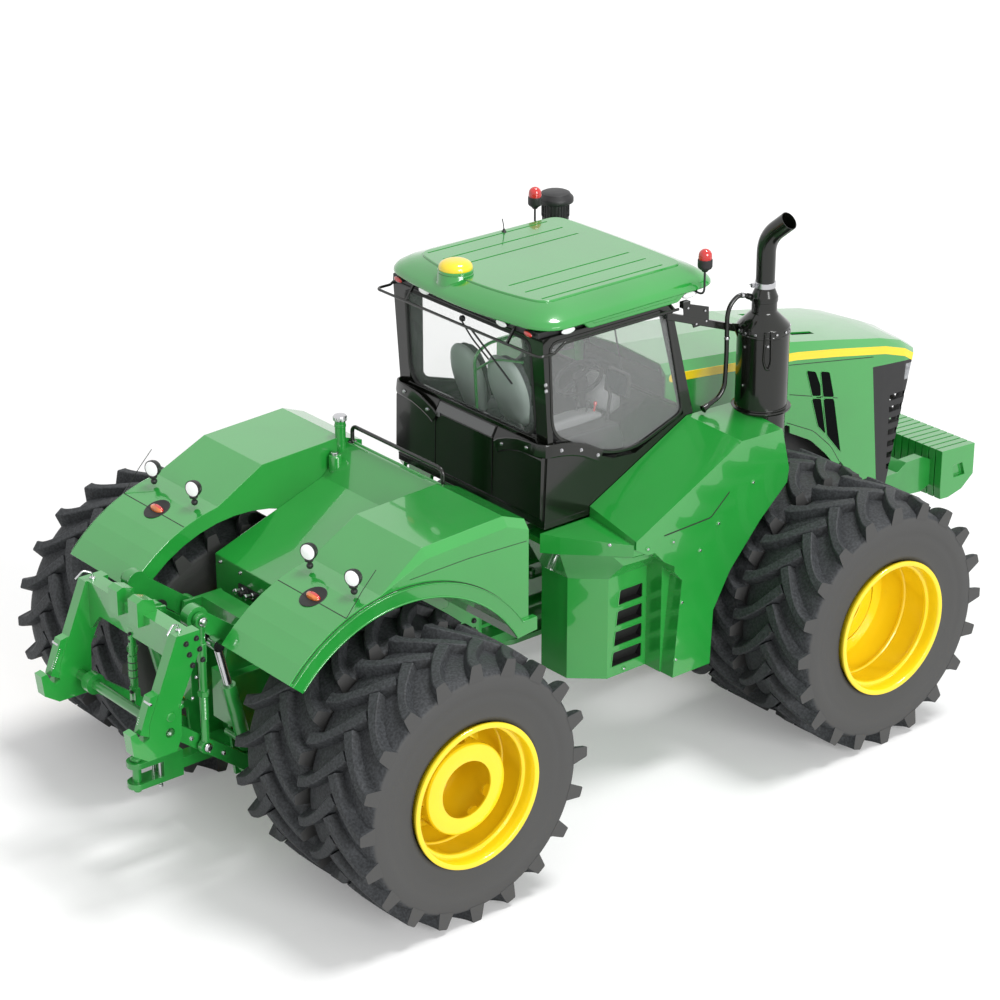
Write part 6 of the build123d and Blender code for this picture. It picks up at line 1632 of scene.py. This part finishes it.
# ---------------------------------------------------------------- camera
# fitted to the photo
CAMERA_SPOT = (-13581.07, -16381.44, 11292.90)
CAMERA_YAW, CAMERA_PITCH = 50.4272, 23.6853
CAMERA_LENS = 106.33
FLOOR_HALF = 150.0
FLOOR_LEVEL = -0.0005
FLOOR_ALBEDO = 0.80
FLOOR_GLOW = 0.20            # seen by the camera only
WORLD_SOFT, WORLD_WHITE = 0.50, 1.0
SUNS = (
    # name, energy, spread in degrees, direction of the light
    ("top", 1.7, 18.0, (-0.30, 0.12, -1.0)),
    ("side", 2.0, 30.0, (0.1, 1.0, -0.35)),
)

camera_data = bpy.data.cameras.new("camera")
camera = bpy.data.objects.new("camera", camera_data)
bpy.context.scene.collection.objects.link(camera)
camera_data.sensor_width = 36.0
camera_data.lens = CAMERA_LENS
camera_data.clip_end = 400.0
yaw, pitch = math.radians(CAMERA_YAW), math.radians(CAMERA_PITCH)
camera.location = at(*CAMERA_SPOT)
forward = Vector((math.cos(pitch) * math.cos(yaw), math.cos(pitch) * math.sin(yaw), -math.sin(pitch)))
camera.rotation_euler = forward.to_track_quat("-Z", "Y").to_euler()
bpy.context.scene.camera = camera


# ---------------------------------------------------------------- floor, light
def emission(tree, strength):
    """Emission shader's output."""
    made = tree.nodes.new("ShaderNodeEmission")
    made.inputs["Strength"].default_value = strength
    return made.outputs[0]


def pale_floor():
    """Plain pale floor, lifted a little for the camera so that it meets the white behind it."""
    corners = [(x * FLOOR_HALF, y * FLOOR_HALF, FLOOR_LEVEL) for x, y in ((-1, -1), (1, -1), (1, 1), (-1, 1))]
    mesh = bpy.data.meshes.new("floor")
    mesh.from_pydata(corners, [], [(0, 1, 2, 3)])
    floor = bpy.data.objects.new("floor", mesh)
    bpy.context.scene.collection.objects.link(floor)
    material = bpy.data.materials.new("floor")
    material.use_nodes = True
    tree = material.node_tree
    tree.nodes.clear()
    out = tree.nodes.new("ShaderNodeOutputMaterial")
    diffuse = tree.nodes.new("ShaderNodeBsdfDiffuse")
    diffuse.inputs["Color"].default_value = (FLOOR_ALBEDO, FLOOR_ALBEDO, FLOOR_ALBEDO, 1.0)
    path = tree.nodes.new("ShaderNodeLightPath")
    add = tree.nodes.new("ShaderNodeAddShader")
    mix = tree.nodes.new("ShaderNodeMixShader")
    tree.links.new(diffuse.outputs[0], add.inputs[0])
    tree.links.new(emission(tree, FLOOR_GLOW), add.inputs[1])
    tree.links.new(path.outputs["Is Camera Ray"], mix.inputs[0])
    tree.links.new(diffuse.outputs[0], mix.inputs[1])
    tree.links.new(add.outputs[0], mix.inputs[2])
    tree.links.new(mix.outputs[0], out.inputs["Surface"])
    mesh.materials.append(material)


def white_world():
    """White behind everything for camera, glossy and transmitted rays, softer for diffuse light."""
    world = bpy.data.worlds.new("world")
    bpy.context.scene.world = world
    world.use_nodes = True
    tree = world.node_tree
    tree.nodes.clear()
    out = tree.nodes.new("ShaderNodeOutputWorld")
    shades = []
    for strength in (WORLD_SOFT, WORLD_WHITE):
        made = tree.nodes.new("ShaderNodeBackground")
        made.inputs["Color"].default_value = (1, 1, 1, 1)
        made.inputs["Strength"].default_value = strength
        shades.append(made.outputs[0])
    path = tree.nodes.new("ShaderNodeLightPath")
    seen = path.outputs["Is Camera Ray"]
    for ray in ("Is Glossy Ray", "Is Transmission Ray"):
        either = tree.nodes.new("ShaderNodeMath")
        either.operation = "MAXIMUM"
        tree.links.new(seen, either.inputs[0])
        tree.links.new(path.outputs[ray], either.inputs[1])
        seen = either.outputs[0]
    mix = tree.nodes.new("ShaderNodeMixShader")
    tree.links.new(seen, mix.inputs[0])
    tree.links.new(shades[0], mix.inputs[1])
    tree.links.new(shades[1], mix.inputs[2])
    tree.links.new(mix.outputs[0], out.inputs["Surface"])


def sun(name, energy, spread, toward):
    """One sun lamp, shining along a direction."""
    light = bpy.data.lights.new(name, "SUN")
    light.energy = energy
    light.angle = math.radians(spread)
    lamp = bpy.data.objects.new(name, light)
    bpy.context.scene.collection.objects.link(lamp)
    lamp.rotation_euler = Vector(toward).to_track_quat("-Z", "Y").to_euler()


pale_floor()
white_world()
for settings in SUNS:
    sun(*settings)
bpy.context.scene.view_settings.view_transform = "Standard"
